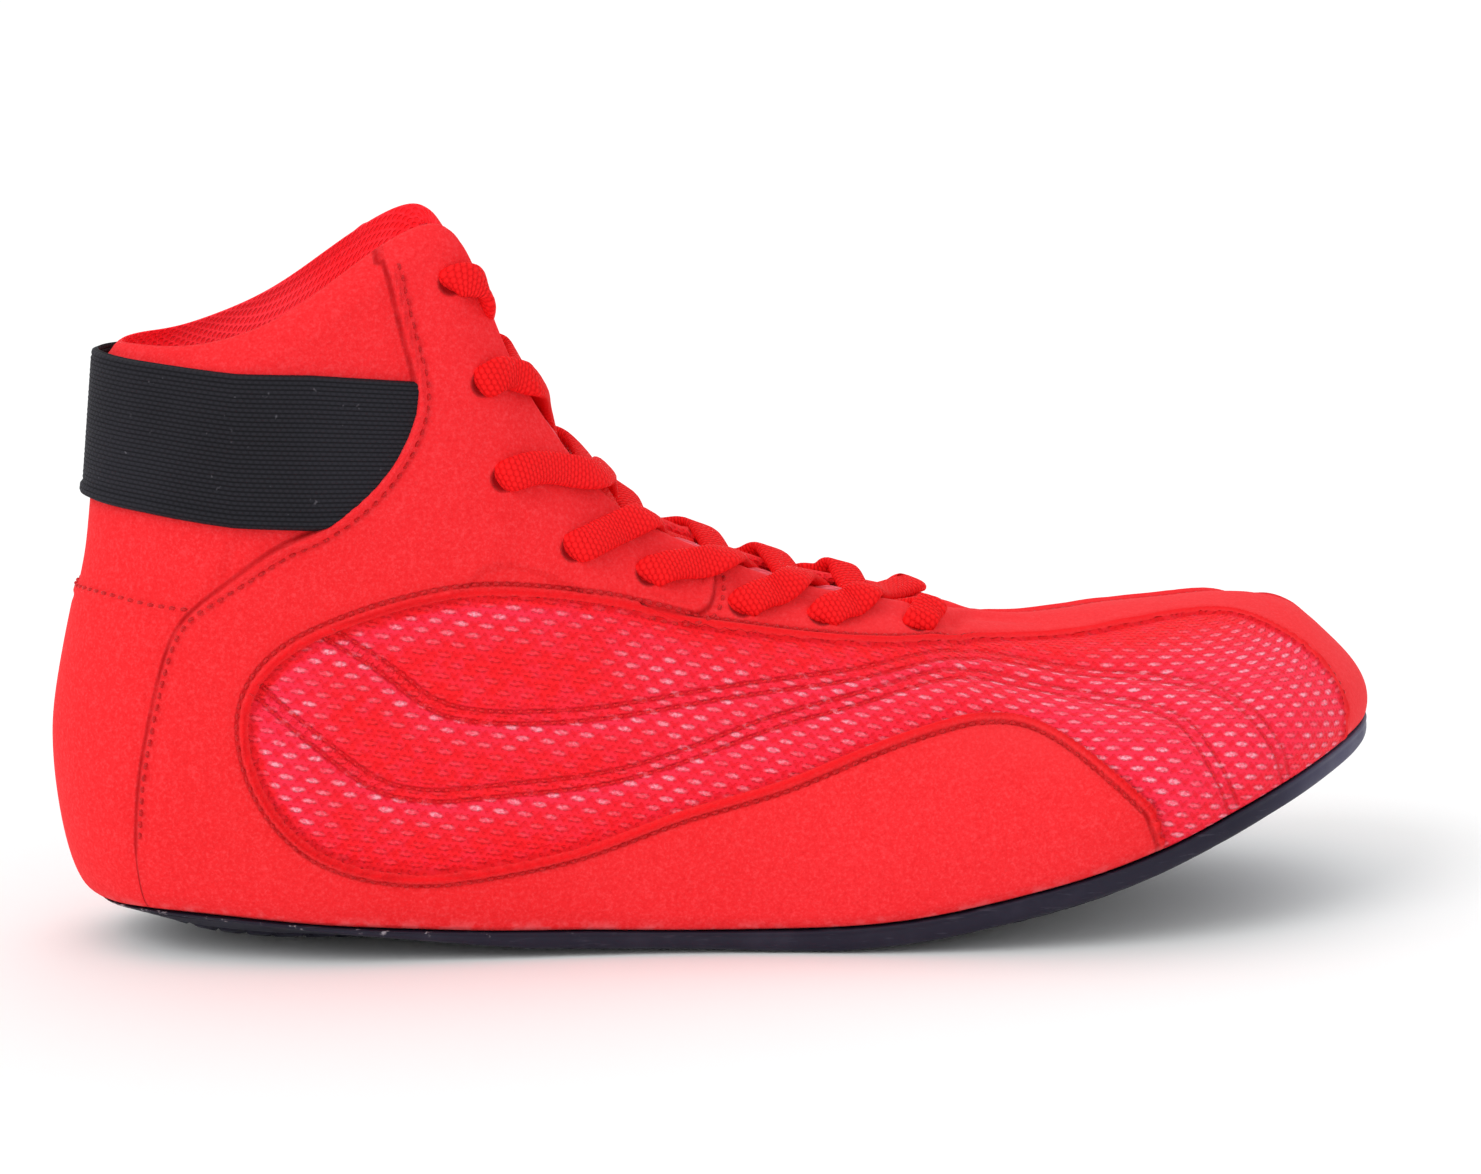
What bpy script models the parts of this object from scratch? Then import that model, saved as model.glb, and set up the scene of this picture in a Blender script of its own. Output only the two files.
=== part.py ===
"""Wrestling shoe, right foot, standing empty on its sole.

Metres, +Z up, toe along +X, medial side along +Y. The tables below are in
millimetres, measured from the heel's rearmost point on the floor; SHIFT moves
them so that the object's box is centred on the origin.
"""

import math

import bmesh
import bpy
import numpy as np

# ---- named sizes, mm --------------------------------------------------------
LENGTH = 284.6          # heel bulge to the feather edge at the toe tip
BALL_WIDTH = 93.6       # over the feather edge at the ball
COLLAR_BACK = 125.0     # rim height behind the heel
FLAP_PEAK = 150.0       # highest point of the two ankle flaps
INSTEP = 62.9           # height of the vamp at the front of the throat
WALL = 2.5              # upper: suede, foam and lining together
GAP = 0.3               # clearance between pieces that meet
SOLE_EDGE = 5.0         # rubber showing below the upper
SOLE_THICK = 4.6        # rubber under the foot
SOLE_LIP = 0.7          # how far the rubber stands out past the feather edge
INSOLE_THICK = 3.0
STRAP_THICK = 1.4
TONGUE_THICK = 4.6
LACE_WIDTH = 6.6
LACE_THICK = 2.4
SHIFT = (-142.76, 1.56)

# ---- sections ---------------------------------------------------------------
# One row for each section, from the back of the heel to the tip of the toe.
#   spine, spine_y   the point under the foot that the section passes through
#   lat_x, lat_y     feather edge on the outer side
#   med_x, med_y     feather edge on the inner side
#   edge             height of the feather edge
#   lat_out, med_out how far the wall bulges past the feather edge
#   belly            height of the widest point
#   lat_high, med_high, high   a point on the wall between belly and top
#   lat_top, med_top, top      the collar, the throat edge, or the ridge (0)
#   lean             how far forward the top stands of the feather edge
#   bed              height of the tread under the spine
COLUMNS = ("spine", "spine_y", "lat_x", "lat_y", "med_x", "med_y", "edge",
           "lat_out", "med_out", "belly", "lat_high", "med_high", "high",
           "lat_top", "med_top", "top", "lean", "bed")
SECTIONS = (
    (40.0, 0.0, 9.3, 0.0, 9.3, 0.0, 9.6, 9.3, 9.3, 43, 32.6, 32.6, 85, 28.6, 28.6, COLLAR_BACK, 0, 3.0),
    (41.5, 0.0, 13.3, -14.5, 13.3, 14.5, 10.2, 6.5, 6.5, 41, 30.9, 30.9, 86, 27.3, 27.3, COLLAR_BACK + 0.2, 0, 2.4),
    (44.0, 0.0, 24.5, -23.8, 24.5, 23.5, 10.2, 3.6, 3.6, 38, 28.8, 28.6, 91, 25.2, 25.2, COLLAR_BACK + 1.0, 0, 0.8),
    (49.0, 0.0, 45.0, -30.6, 45.0, 29.8, 8.8, 2.4, 2.4, 35, 28.0, 27.4, 90, 23.6, 23.6, FLAP_PEAK - 18.5, 0, 0.0),
    (63.0, 0.0, 62.0, -32.8, 62.0, 30.2, 7.4, 1.8, 1.8, 32, 27.4, 26.6, 96, 22.5, 22.5, FLAP_PEAK - 8.0, 0, 0.0),
    (80.0, 0.0, 80.0, -33.6, 80.0, 29.4, 6.3, 1.4, 1.6, 30, 27.0, 26.2, 100, 20.0, 20.0, FLAP_PEAK, -2, 0.0),
    (92.0, 0.0, 92.0, -34.0, 92.0, 28.6, 5.8, 1.2, 1.6, 28, 26.6, 25.8, 96, 17.5, 17.5, FLAP_PEAK - 8.0, -6, 0.6),
    (105.0, 0.0, 105.0, -34.4, 105.0, 27.8, 5.4, 1.2, 1.8, 26, 26.8, 25.8, 86, 16.0, 16.0, 122.0, -11, 1.1),
    (118.0, 0.0, 118.0, -35.2, 118.0, 27.4, 5.0, 1.4, 2.0, 24, 27.0, 25.8, 74, 15.0, 15.0, 102.0, -12, 1.2),
    (132.0, 0.0, 132.0, -36.8, 132.0, 28.2, 4.8, 1.5, 2.0, 22, 27.6, 26.0, 65, 14.2, 14.2, 88.5, -13, 0.8),
    (147.0, 0.0, 147.0, -39.2, 147.0, 30.4, 4.8, 1.6, 1.9, 20, 29.0, 27.0, 58, 13.5, 13.5, 79.5, -10, 0.0),
    (162.0, 0.0, 162.0, -42.3, 162.0, 34.0, 5.6, 1.6, 1.8, 19, 31.0, 28.5, 52, 12.8, 12.8, 73.0, -8, 0.0),
    (177.0, 0.2, 177.0, -45.3, 177.0, 38.4, 7.6, 1.6, 1.7, 19, 33.0, 30.0, 49, 11.0, 11.0, 69.0, -5, 0.2),
    (189.0, 0.6, 189.0, -47.2, 189.0, 41.6, 10.2, 1.5, 1.6, 20.5, 34.2, 31.5, 48, 7.6, 7.6, INSTEP + 2.6, -3, 1.1),
    (198.0, 1.0, 198.0, -48.1, 198.0, 43.5, 12.4, 1.5, 1.6, 22, 34.8, 32.5, 47.2, 0.0, 0.0, INSTEP, -2, 2.4),
    (211.0, 2.2, 211.0, -48.6, 211.0, 45.0, 15.8, 1.5, 1.6, 25, 35.2, 33.0, 48.2, 0.0, 0.0, INSTEP - 0.3, -1, 5.4),
    (225.0, 4.2, 227.0, -47.0, 226.0, 45.4, 20.8, 1.5, 1.5, 29, 35.0, 31.0, 51, 0.0, 0.0, INSTEP + 1.3, 0, 10.0),
    (237.0, 6.2, 243.0, -43.2, 241.5, 44.2, 27.2, 1.4, 1.4, 34.0, 33.0, 28.2, 53, 0.0, 0.0, INSTEP + 1.7, 0, 15.2),
    (247.0, 8.2, 257.0, -36.2, 256.0, 41.0, 32.2, 1.3, 1.3, 38.0, 30.2, 25.0, 55, 0.0, 0.0, INSTEP + 1.7, 0, 20.0),
    (253.0, 9.6, 268.5, -25.5, 267.5, 35.4, 35.3, 1.2, 1.2, 39.6, 25.4, 21.0, 55.4, 0.0, 0.0, INSTEP + 1.5, 0, 23.6),
    (257.6, 10.6, 277.2, -13.0, 276.3, 28.0, 36.6, 1.0, 1.0, 40.0, 20.2, 17.2, 55.6, 0.0, 0.0, INSTEP + 1.1, 0, 26.2),
    (260.2, 11.2, 282.8, -0.6, 282.3, 20.0, 37.0, 0.9, 0.9, 40.0, 15.9, 14.7, 55.6, 0.0, 0.0, INSTEP + 0.7, 0, 27.6),
    (261.2, 11.5, 284.6, 10.6, 284.6, 10.6, 36.9, 0.9, 0.9, 39.8, 13.9, 13.9, 55.4, 0.0, 0.0, INSTEP + 0.5, 0, 28.0),
)
DRAWN_LENGTH, DRAWN_WIDTH = 284.6, 93.6     # the sizes that the table is drawn at
ALONG = ("spine", "lat_x", "med_x", "lean")
ACROSS = ("spine_y", "lat_y", "med_y", "lat_out", "med_out")
ROWS = len(SECTIONS)
LOOP = 2 * ROWS - 2     # outer side heel to toe, then inner side toe to heel


# ---- curves through the table ----------------------------------------------
def column(name):
    drawn = np.array([row[COLUMNS.index(name)] for row in SECTIONS], float)
    if name in ALONG:
        return drawn * (LENGTH / DRAWN_LENGTH)
    return drawn * (BALL_WIDTH / DRAWN_WIDTH) if name in ACROSS else drawn


def around(lateral, medial=None):
    """A column's values once round the foot: outer side out, inner side back."""
    medial = lateral if medial is None else medial
    return np.concatenate([lateral, medial[-2:0:-1]])


def periodic_spline(values):
    """Smooth closed curve through values at 0, 1, 2 ...; returns a function."""
    n = len(values)
    m = np.zeros((n, n))
    for i in range(n):
        m[i, i] = 4
        m[i, (i - 1) % n] += 1
        m[i, (i + 1) % n] += 1
    right = 6 * (np.roll(values, -1) - 2 * values + np.roll(values, 1))
    second = np.linalg.solve(m, right)

    def at(w):
        w = np.mod(w, n)
        i = np.floor(w).astype(int) % n
        j = (i + 1) % n
        t = w - np.floor(w)
        s = 1 - t
        return (s * values[i] + t * values[j]
                + ((s ** 3 - s) * second[i] + (t ** 3 - t) * second[j]) / 6)
    return at


def periodic_monotone(values):
    """Closed curve that never passes beyond two neighbouring values."""
    n = len(values)
    step = np.roll(values, -1) - values
    before = np.roll(step, 1)
    same = step * before > 0
    slope = np.where(same, 2 * step * before / np.where(same, step + before, 1), 0)

    def at(w):
        w = np.mod(w, n)
        i = np.floor(w).astype(int) % n
        j = (i + 1) % n
        t = w - np.floor(w)
        return ((2 * t ** 3 - 3 * t ** 2 + 1) * values[i]
                + (t ** 3 - 2 * t ** 2 + t) * slope[i]
                + (3 * t ** 2 - 2 * t ** 3) * values[j]
                + (t ** 3 - t ** 2) * slope[j])
    return at


CURVES = {
    "spine": periodic_spline(around(column("spine"))),
    "spine_y": periodic_spline(around(column("spine_y"))),
    "x": periodic_spline(around(column("lat_x"), column("med_x"))),
    "y": periodic_spline(around(column("lat_y"), column("med_y"))),
    "edge": periodic_spline(around(column("edge"))),
    "out": periodic_spline(around(column("lat_out"), column("med_out"))),
    "belly": periodic_spline(around(column("belly"))),
    "high_r": periodic_spline(around(column("lat_high"), column("med_high"))),
    "high": periodic_spline(around(column("high"))),
    "top_r": periodic_monotone(around(column("lat_top"), column("med_top"))),
    "top": periodic_spline(around(column("top"))),
    "lean": periodic_spline(around(column("lean"))),
    "bed": periodic_monotone(around(column("bed"))),
}


def station(w):
    """Everything the table says at the places w round the foot."""
    s = {name: curve(w) for name, curve in CURVES.items()}
    dx, dy = s["x"] - s["spine"], s["y"] - s["spine_y"]
    s["reach"] = np.hypot(dx, dy)
    s["dx"], s["dy"] = dx / s["reach"], dy / s["reach"]
    e = 0.02
    run = CURVES["spine"](w + e) - CURVES["spine"](w - e)
    side = CURVES["spine_y"](w + e) - CURVES["spine_y"](w - e)
    rise = CURVES["top"](w + e) - CURVES["top"](w - e)
    far = np.hypot(run, side)
    far = np.where(far < 1e-4, 1.0, far)
    ends = np.abs(run) > 1e-3
    s["grade"] = np.where(ends, rise / far * (run * s["dx"] + side * s["dy"]) / far, 0)
    return s


def hermite(a, b, ta, tb, t):
    return ((2 * t ** 3 - 3 * t ** 2 + 1) * a + (t ** 3 - 2 * t ** 2 + t) * ta
            + (3 * t ** 2 - 2 * t ** 3) * b + (t ** 3 - t ** 2) * tb)


def profiles(w, fine=24):
    """Outer face of the upper: for each place w, points from feather edge to top."""
    s = station(w)
    one = [s[k][:, None] for k in ("reach", "edge", "out", "belly", "high_r", "high",
                                   "top_r", "top", "grade")]
    reach, edge, out, belly, high_r, high, top_r, top, grade = one
    q = np.linspace(0, math.pi / 2, fine)[None, :]
    r1 = reach + out * np.sin(q)
    z1 = edge + (belly - edge) * (1 - np.cos(q))
    t = np.linspace(0, 1, fine + 1)[None, 1:]
    br, bz = reach + out, belly
    l1 = np.hypot(high_r - br, high - bz)
    l2 = np.hypot(top_r - high_r, top - high)
    hr, hz = (top_r - br) / (l1 + l2), (top - bz) / (l1 + l2)
    shut = np.clip(1 - top_r / 6.0, 0, 1)
    shut = shut * shut * (3 - 2 * shut)
    er = shut * -l2 + (1 - shut) * (1.5 * (top_r - high_r) - 0.5 * hr * l2)
    ez = shut * -grade * l2 + (1 - shut) * (1.5 * (top - high) - 0.5 * hz * l2)
    r2 = hermite(br, high_r, 0 * l1, hr * l1, t)
    z2 = hermite(bz, high, l1, hz * l1, t)
    r3 = hermite(high_r, top_r, hr * l2, er, t)
    z3 = hermite(high, top, hz * l2, ez, t)
    r = np.concatenate([r1, r2, r3], axis=1)
    z = np.concatenate([z1, z2, z3], axis=1)
    up = np.clip((z - edge) / (top - edge), 0, 1) ** 1.3
    x = s["spine"][:, None] + r * s["dx"][:, None] + s["lean"][:, None] * up
    y = s["spine_y"][:, None] + r * s["dy"][:, None]
    return np.stack([x, y, z], axis=2)


def surface(w, v):
    """The outer face at places w (round) by v (0 feather edge, 1 top), as a grid."""
    w, v = np.atleast_1d(np.asarray(w, float)), np.asarray(v, float)
    p = profiles(w)
    v = np.broadcast_to(v, (len(w), v.shape[-1]))
    length = np.concatenate([np.zeros((len(w), 1)),
                             np.cumsum(np.linalg.norm(np.diff(p, axis=1), axis=2), axis=1)], axis=1)
    grid = np.empty((len(w), v.shape[1], 3))
    for i in range(len(w)):
        for k in range(3):
            grid[i, :, k] = np.interp(v[i] * length[i, -1], length[i], p[i, :, k])
    return grid


def shell(w, v, depth):
    """The outer face moved inwards by depth along its normal."""
    w, v = np.atleast_1d(np.asarray(w, float)), np.asarray(v, float)
    v = np.broadcast_to(v, (len(w), v.shape[-1]))
    e = 0.01
    low, up = np.clip(v - e, 0, 1), np.clip(v + e, 0, 1)
    tv = surface(w, up) - surface(w, low)
    tw = surface(w + 0.03, v) - surface(w - 0.03, v)
    n = np.cross(tw, tv)
    n /= np.linalg.norm(n, axis=2)[:, :, None]
    return surface(w, v) - n * depth


def v_at_height(w, z):
    """How far up the face (0 to 1) each place w reaches the height z."""
    v = np.linspace(0, 1, 161)
    heights = surface(w, v)[:, :, 2]
    return np.array([np.interp(h, row, v) for h, row in zip(np.broadcast_to(z, len(w)), heights)])


# ---- making objects ---------------------------------------------------------
def material(name, colour, roughness):
    m = bpy.data.materials.new(name)
    m.use_nodes = True
    shader = m.node_tree.nodes["Principled BSDF"]
    shader.inputs["Base Color"].default_value = (*colour, 1)
    shader.inputs["Roughness"].default_value = roughness
    shader.inputs["Metallic"].default_value = 0
    m.diffuse_color = (*colour, 1)
    return m


def place(points):
    p = np.asarray(points, float).copy()
    p[..., 0] += SHIFT[0]
    p[..., 1] += SHIFT[1]
    return p * 0.001


def new_object(name, points, faces, mat, owner, weld=1e-6):
    mesh = bpy.data.meshes.new(name)
    mesh.from_pydata([tuple(p) for p in place(points)], [], [tuple(f) for f in faces])
    bm = bmesh.new()
    bm.from_mesh(mesh)
    bmesh.ops.remove_doubles(bm, verts=bm.verts, dist=weld)
    bmesh.ops.dissolve_degenerate(bm, edges=bm.edges, dist=1e-7)
    bmesh.ops.recalc_face_normals(bm, faces=bm.faces)
    bm.to_mesh(mesh)
    bm.free()
    mesh.materials.append(mat)
    obj = bpy.data.objects.new(name, mesh)
    owner.objects.link(obj)
    return obj


def strip(faces, first, second, closed):
    """Quads between two rows of vertex numbers."""
    n = len(first)
    for i in range(n if closed else n - 1):
        j = (i + 1) % n
        faces.append((first[i], first[j], second[j], second[i]))


def slab(name, over, under, mat, owner, ring=False):
    """A closed sheet between two grids of points of the same shape."""
    rows, cols = over.shape[:2]
    points = np.concatenate([over.reshape(-1, 3), under.reshape(-1, 3)])
    top = np.arange(rows * cols).reshape(rows, cols)
    low = top + rows * cols
    faces = []
    for i in range(rows if ring else rows - 1):
        strip(faces, top[i], top[(i + 1) % rows], False)
        strip(faces, low[(i + 1) % rows], low[i], False)
    strip(faces, top[:, 0], low[:, 0], ring)
    strip(faces, low[:, -1], top[:, -1], ring)
    if not ring:
        strip(faces, low[0], top[0], False)
        strip(faces, top[-1], low[-1], False)
    return new_object(name, points, faces, mat, owner)


# ---- the pieces -------------------------------------------------------------
def make_upper(mat, owner):
    """One hollow wall: open at collar and throat, and underneath."""
    half = np.concatenate([np.linspace(0, 5, 13)[:-1], np.linspace(5, 14, 21)[:-1],
                           np.linspace(14, ROWS - 1, 19)])
    w = np.concatenate([half, LOOP - half[-2:0:-1]])
    v = np.array([0, .05, .125, .215, .32, .43, .54, .64, .735, .825, .915, 1.0])
    grid = surface(w, v)
    grid[:, :, 2] += GAP + 0.1
    rows, cols = grid.shape[:2]
    number = np.arange(rows * cols).reshape(rows, cols)
    faces = []
    for i in range(rows):
        strip(faces, number[i], number[(i + 1) % rows], False)
    obj = new_object("upper", grid.reshape(-1, 3), faces, mat, owner, weld=2e-5)
    wall = obj.modifiers.new("Wall", "SOLIDIFY")
    wall.thickness = WALL * 0.001
    wall.offset = -1
    wall.use_rim = True
    wall.use_even_offset = False
    return obj


def sole_heights(s, q):
    """Bed (inside) and tread (outside) of the rubber, q from spine 0 to edge 1."""
    edge, bed = s["edge"][:, None], s["bed"][:, None]
    rise = np.clip((q - 0.42) / 0.48, 0, 1)
    rise = rise * rise * (3 - 2 * rise)
    inner = (bed + SOLE_THICK) * (1 - rise) + edge * rise
    low = np.maximum(edge - SOLE_EDGE, bed * 0.6 + 0.25)
    curl = np.clip((q - 0.60) / 0.40, 0, 1) ** 1.7
    outer = bed * (1 - curl) + low * curl
    return inner, outer


def make_outsole(mat, owner):
    """Thin cupped rubber: flat under heel and forefoot, arched, sprung at the toe."""
    half = np.concatenate([np.linspace(0, 15, 21)[:-1], np.linspace(15, ROWS - 1, 13)])
    w = np.concatenate([half, LOOP - half[-2:0:-1]])
    s = station(w)
    q = np.array([0.0, .42, .60, .76, .90, 1.0])[None, :]
    inner, outer = sole_heights(s, q)
    n = len(w)

    def plan(radius):
        x = s["spine"][:, None] + radius * s["dx"][:, None]
        y = s["spine_y"][:, None] + radius * s["dy"][:, None]
        return x, y
    reach = s["reach"][:, None]
    up_r = q * reach
    down_r = q * (reach - 1.6)
    x, y = plan(up_r)
    over = np.stack([x, y, np.broadcast_to(inner, x.shape)], axis=2)
    x, y = plan(down_r)
    under = np.stack([x, y, np.broadcast_to(outer, x.shape)], axis=2)
    edge = s["edge"][:, None]
    low = outer[:, -1:]
    tall = edge - low
    rim = []
    for out, up in ((SOLE_LIP, 1.0), (SOLE_LIP + 0.2, 0.55), (-0.2, 0.12)):
        x, y = plan(reach + out)
        rim.append(np.stack([x, y, low + tall * up], axis=2))
    rim = np.concatenate(rim, axis=1)
    grid = np.concatenate([over, rim, under[:, ::-1]], axis=1)
    cols = grid.shape[1]
    number = np.arange(n * cols).reshape(n, cols)
    faces = []
    for i in range(n):
        strip(faces, number[i], number[(i + 1) % n], False)
    return new_object("outsole", grid.reshape(-1, 3), faces, mat, owner, weld=2e-5)


def make_insole(mat, owner):
    """Flat sock liner that lies in the sole, clear of the upper's wall."""
    half = np.concatenate([np.linspace(0, 15, 18)[:-1], np.linspace(15, ROWS - 1, 10)])
    w = np.concatenate([half, LOOP - half[-2:0:-1]])
    s = station(w)
    q = np.array([0.0, .46, .64, .80, .93, 1.0])[None, :]
    reach = s["reach"][:, None]
    inside = reach - WALL - 1.6
    q_real = q * inside / reach
    inner, _ = sole_heights(s, q_real)
    x = s["spine"][:, None] + q * inside * s["dx"][:, None]
    y = s["spine_y"][:, None] + q * inside * s["dy"][:, None]
    low = np.stack([x, y, inner + GAP + 0.9], axis=2)
    high = np.stack([x, y, inner + GAP + 0.9 + INSOLE_THICK * (1 - 0.35 * q ** 6)], axis=2)
    grid = np.concatenate([high, low[:, ::-1]], axis=1)
    n, cols = grid.shape[:2]
    number = np.arange(n * cols).reshape(n, cols)
    faces = []
    for i in range(n):
        strip(faces, number[i], number[(i + 1) % n], False)
    return new_object("insole", grid.reshape(-1, 3), faces, mat, owner, weld=2e-5)


# The tongue, from its free top to its root under the vamp.
#   row      the place along the sections
#   half     half its width
#   crown    how far its middle swells up through the throat
TONGUE = (
    (5.45, 22.5, 1.2), (6.2, 23.0, 2.4), (7.2, 23.0, 2.9), (8.2, 22.5, 2.9), (9.2, 22.0, 2.8),
    (10.2, 21.5, 2.8), (11.2, 21.0, 2.7), (12.2, 20.0, 2.2), (13.1, 18.5, 0.9), (13.8, 17.0, 0.0),
    (14.5, 15.0, 0.0), (15.1, 13.0, 0.0),
)


def tongue_line(row, half, crown, count=11):
    """Top face of the tongue across the foot at one place along it."""
    v = np.linspace(0.62, 1.0, 20)
    lat = shell([row], v, WALL + 0.75)[0]
    med = shell([LOOP - row], v, WALL + 0.75)[0][::-1]
    gap = 0.5 * (med[0, 1] - lat[-1, 1])
    middle = 0.5 * (med[0, 1] + lat[-1, 1])
    line = np.concatenate([lat, med])
    order = np.argsort(line[:, 1], kind="stable")
    line = line[order]
    y = np.linspace(-half, half, count) + middle
    x = np.interp(y, line[:, 1], line[:, 0])
    z = np.interp(y, line[:, 1], line[:, 2])
    bump = np.clip(1 - ((y - middle) / max(gap, 1.0)) ** 2, 0, 1) * crown
    return np.stack([x + 0.35 * bump * min(crown, 1), y, z + bump], axis=1)


def make_tongue(mat, owner):
    rows = np.array(TONGUE)
    where = np.linspace(0, len(rows) - 1, 15)
    over = []
    for t in where:
        row, half, crown = (np.interp(t, np.arange(len(rows)), rows[:, k]) for k in range(3))
        over.append(tongue_line(row, half, crown))
    over = np.array(over)
    along = np.gradient(over, axis=0)
    across = np.gradient(over, axis=1)
    n = np.cross(along, across)
    n /= np.linalg.norm(n, axis=2)[:, :, None]
    n *= np.sign(n[..., 2:3].mean())
    side = np.abs(np.linspace(-1, 1, over.shape[1]))[None, :]
    end = np.minimum(np.arange(len(over)) / 2.0, 1)[:, None]
    thick = TONGUE_THICK * (1 - 0.55 * side ** 2.5) * (0.7 + 0.3 * end)
    under = over - n * thick[:, :, None]
    return slab("tongue", over, under, mat, owner)


# Elastic ankle strap, seen from the side: its two edges and its front end.
#   x         along the foot
#   low, high edges of the band there
STRAP = ((0.0, 95.0, 123.6), (20.0, 93.0, 122.6), (37.0, 90.8, 121.4), (52.0, 90.0, 121.2), (73.0, 90.0, 119.6))
STRAP_END = ((90.0, 52.0), (94.0, 59.0), (101.0, 67.0), (109.0, 71.0), (119.6, 73.0))


def place_at_x(x, z, inner):
    """The place w round the foot where the face stands at x, at height z."""
    w = np.linspace(0.0, 7.0, 141)
    p = surface(w, np.linspace(0, 1, 121))
    found = []
    for xi, zi in zip(np.atleast_1d(x), np.atleast_1d(z)):
        line = np.array([np.interp(zi, p[k, :, 2], p[k, :, 0]) for k in range(len(w))])
        found.append(np.interp(xi, line, w))
    return np.array(found)


STRAP_STEPS = 33


def make_strap(mat, owner):
    ends = np.array(STRAP_END)
    edges = np.array(STRAP)
    along = np.sin(np.linspace(-1, 1, STRAP_STEPS) * math.pi / 2 * 0.93) / math.sin(math.pi / 2 * 0.93)
    along = 0.5 * along + 0.5 * np.linspace(-1, 1, STRAP_STEPS)
    across = np.linspace(0, 1, 5)
    low_end = edges[-1, 1]
    grid_w = np.empty((STRAP_STEPS, 5))
    for k, b in enumerate(across):
        z_end = ends[0, 0] + b * (ends[-1, 0] - ends[0, 0])
        x_end = np.interp(z_end, ends[:, 0], ends[:, 1])
        w_end = place_at_x([x_end], [z_end], False)[0]
        grid_w[:, k] = along * w_end
    over, under = [], []
    for i in range(STRAP_STEPS):
        w = grid_w[i]
        rough = surface(w, np.array([0.85]))[:, 0, 0]
        low = np.interp(rough, edges[:, 0], edges[:, 1])
        high = np.interp(rough, edges[:, 0], edges[:, 2])
        z = low + across * (high - low) - GAP
        v = v_at_height(w, z)
        inner = np.array([shell([a], np.array([b]), -(GAP + 0.7))[0, 0] for a, b in zip(w, v)])
        outer = np.array([shell([a], np.array([b]), -(GAP + 0.7 + STRAP_THICK))[0, 0] for a, b in zip(w, v)])
        inner[:, 2] += GAP
        outer[:, 2] += GAP
        over.append(outer)
        under.append(inner)
    return slab("ankle_strap", np.array(over), np.array(under), mat, owner)


BAR_RISE = 3.1          # how far the lace's middle stands out of the throat
UNDER = 0.7             # how far towards the next eyelet a strand goes in
LOOP_AT = 3             # the crossing that the ribbon keeper holds
LOOP_LONG = 8.6         # half its length along the throat
LOOP_WIDE = 8.0
LOOP_TALL = 5.9
LOOP_FOOT = 1.6
LOOP_THICK = 0.9

# Eyelets, top to front:
#   row   the place along the sections
#   up    how far up the wall, 0 feather edge to 1 throat edge
#   over  where along the throat edge the lace leaves the flap
EYELETS = ((5.13, 0.925, 6.4), (5.93, 0.82, 7.15), (6.27, 0.71, 8.3), (7.60, 0.75, 9.1),
           (8.97, 0.845, 10.1), (10.17, 0.86, 10.95), (11.23, 0.90, 11.8), (12.50, 0.915, 12.8))


def on_flap(row, up, inner, lift):
    """A point over a flap and the way the wall faces there."""
    w = LOOP - row if inner else row
    on = shell([w], np.array([up]), 0.0)[0, 0]
    face = shell([w], np.array([up]), -1.0)[0, 0] - on
    return on + face * lift + np.array([0, 0, GAP]), face


def edge_middle(row):
    """The middle of the throat at a row."""
    return 0.5 * (on_flap(row, 0.99, False, 0.0)[0] + on_flap(row, 0.99, True, 0.0)[0])


def crossing(k):
    """Crossing k: its middle, the way up the throat, the way out."""
    first, last = EYELETS[k][2], EYELETS[k + 1][2]
    under = first + UNDER * (last - first)
    low, high = edge_middle(under), edge_middle(first)
    up = high - low
    up /= np.linalg.norm(up)
    out = np.array([up[2], 0.0, -up[0]])
    return 0.5 * (low + high) + out * BAR_RISE, up, out, under


def bar_path(k, inner_first, lift):
    """From one eyelet over its flap, down across the throat, to the far side.

    The frontmost pair goes over both flaps; the others go in under the far one.
    """
    middle, _, out, under = crossing(k)
    row, up, over = EYELETS[k]
    rows, faces = [], []
    for t in (0.0, 0.5, 1.0):
        p, f = on_flap(row + t * (over - row), up + t * (0.985 - up), inner_first, lift + 0.3 * t)
        rows.append(p)
        faces.append(f + out * t)
    rows.append(middle)
    faces.append(out)
    if k == len(EYELETS) - 2:
        row, up, over = EYELETS[k + 1]
        for t in (1.0, 0.5, 0.0):
            p, f = on_flap(row + t * (over - row), up + t * (0.985 - up), not inner_first, lift + 0.3 * t)
            rows.append(p)
            faces.append(f + out * t)
    else:
        far, _ = on_flap(under, 0.99, not inner_first, 0.0)
        rows.append(middle + 0.5 * (far + out * (BAR_RISE + 0.2) - middle))
        faces.append(out)
    return np.array(rows), np.array(faces)


SIDES = 6


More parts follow.
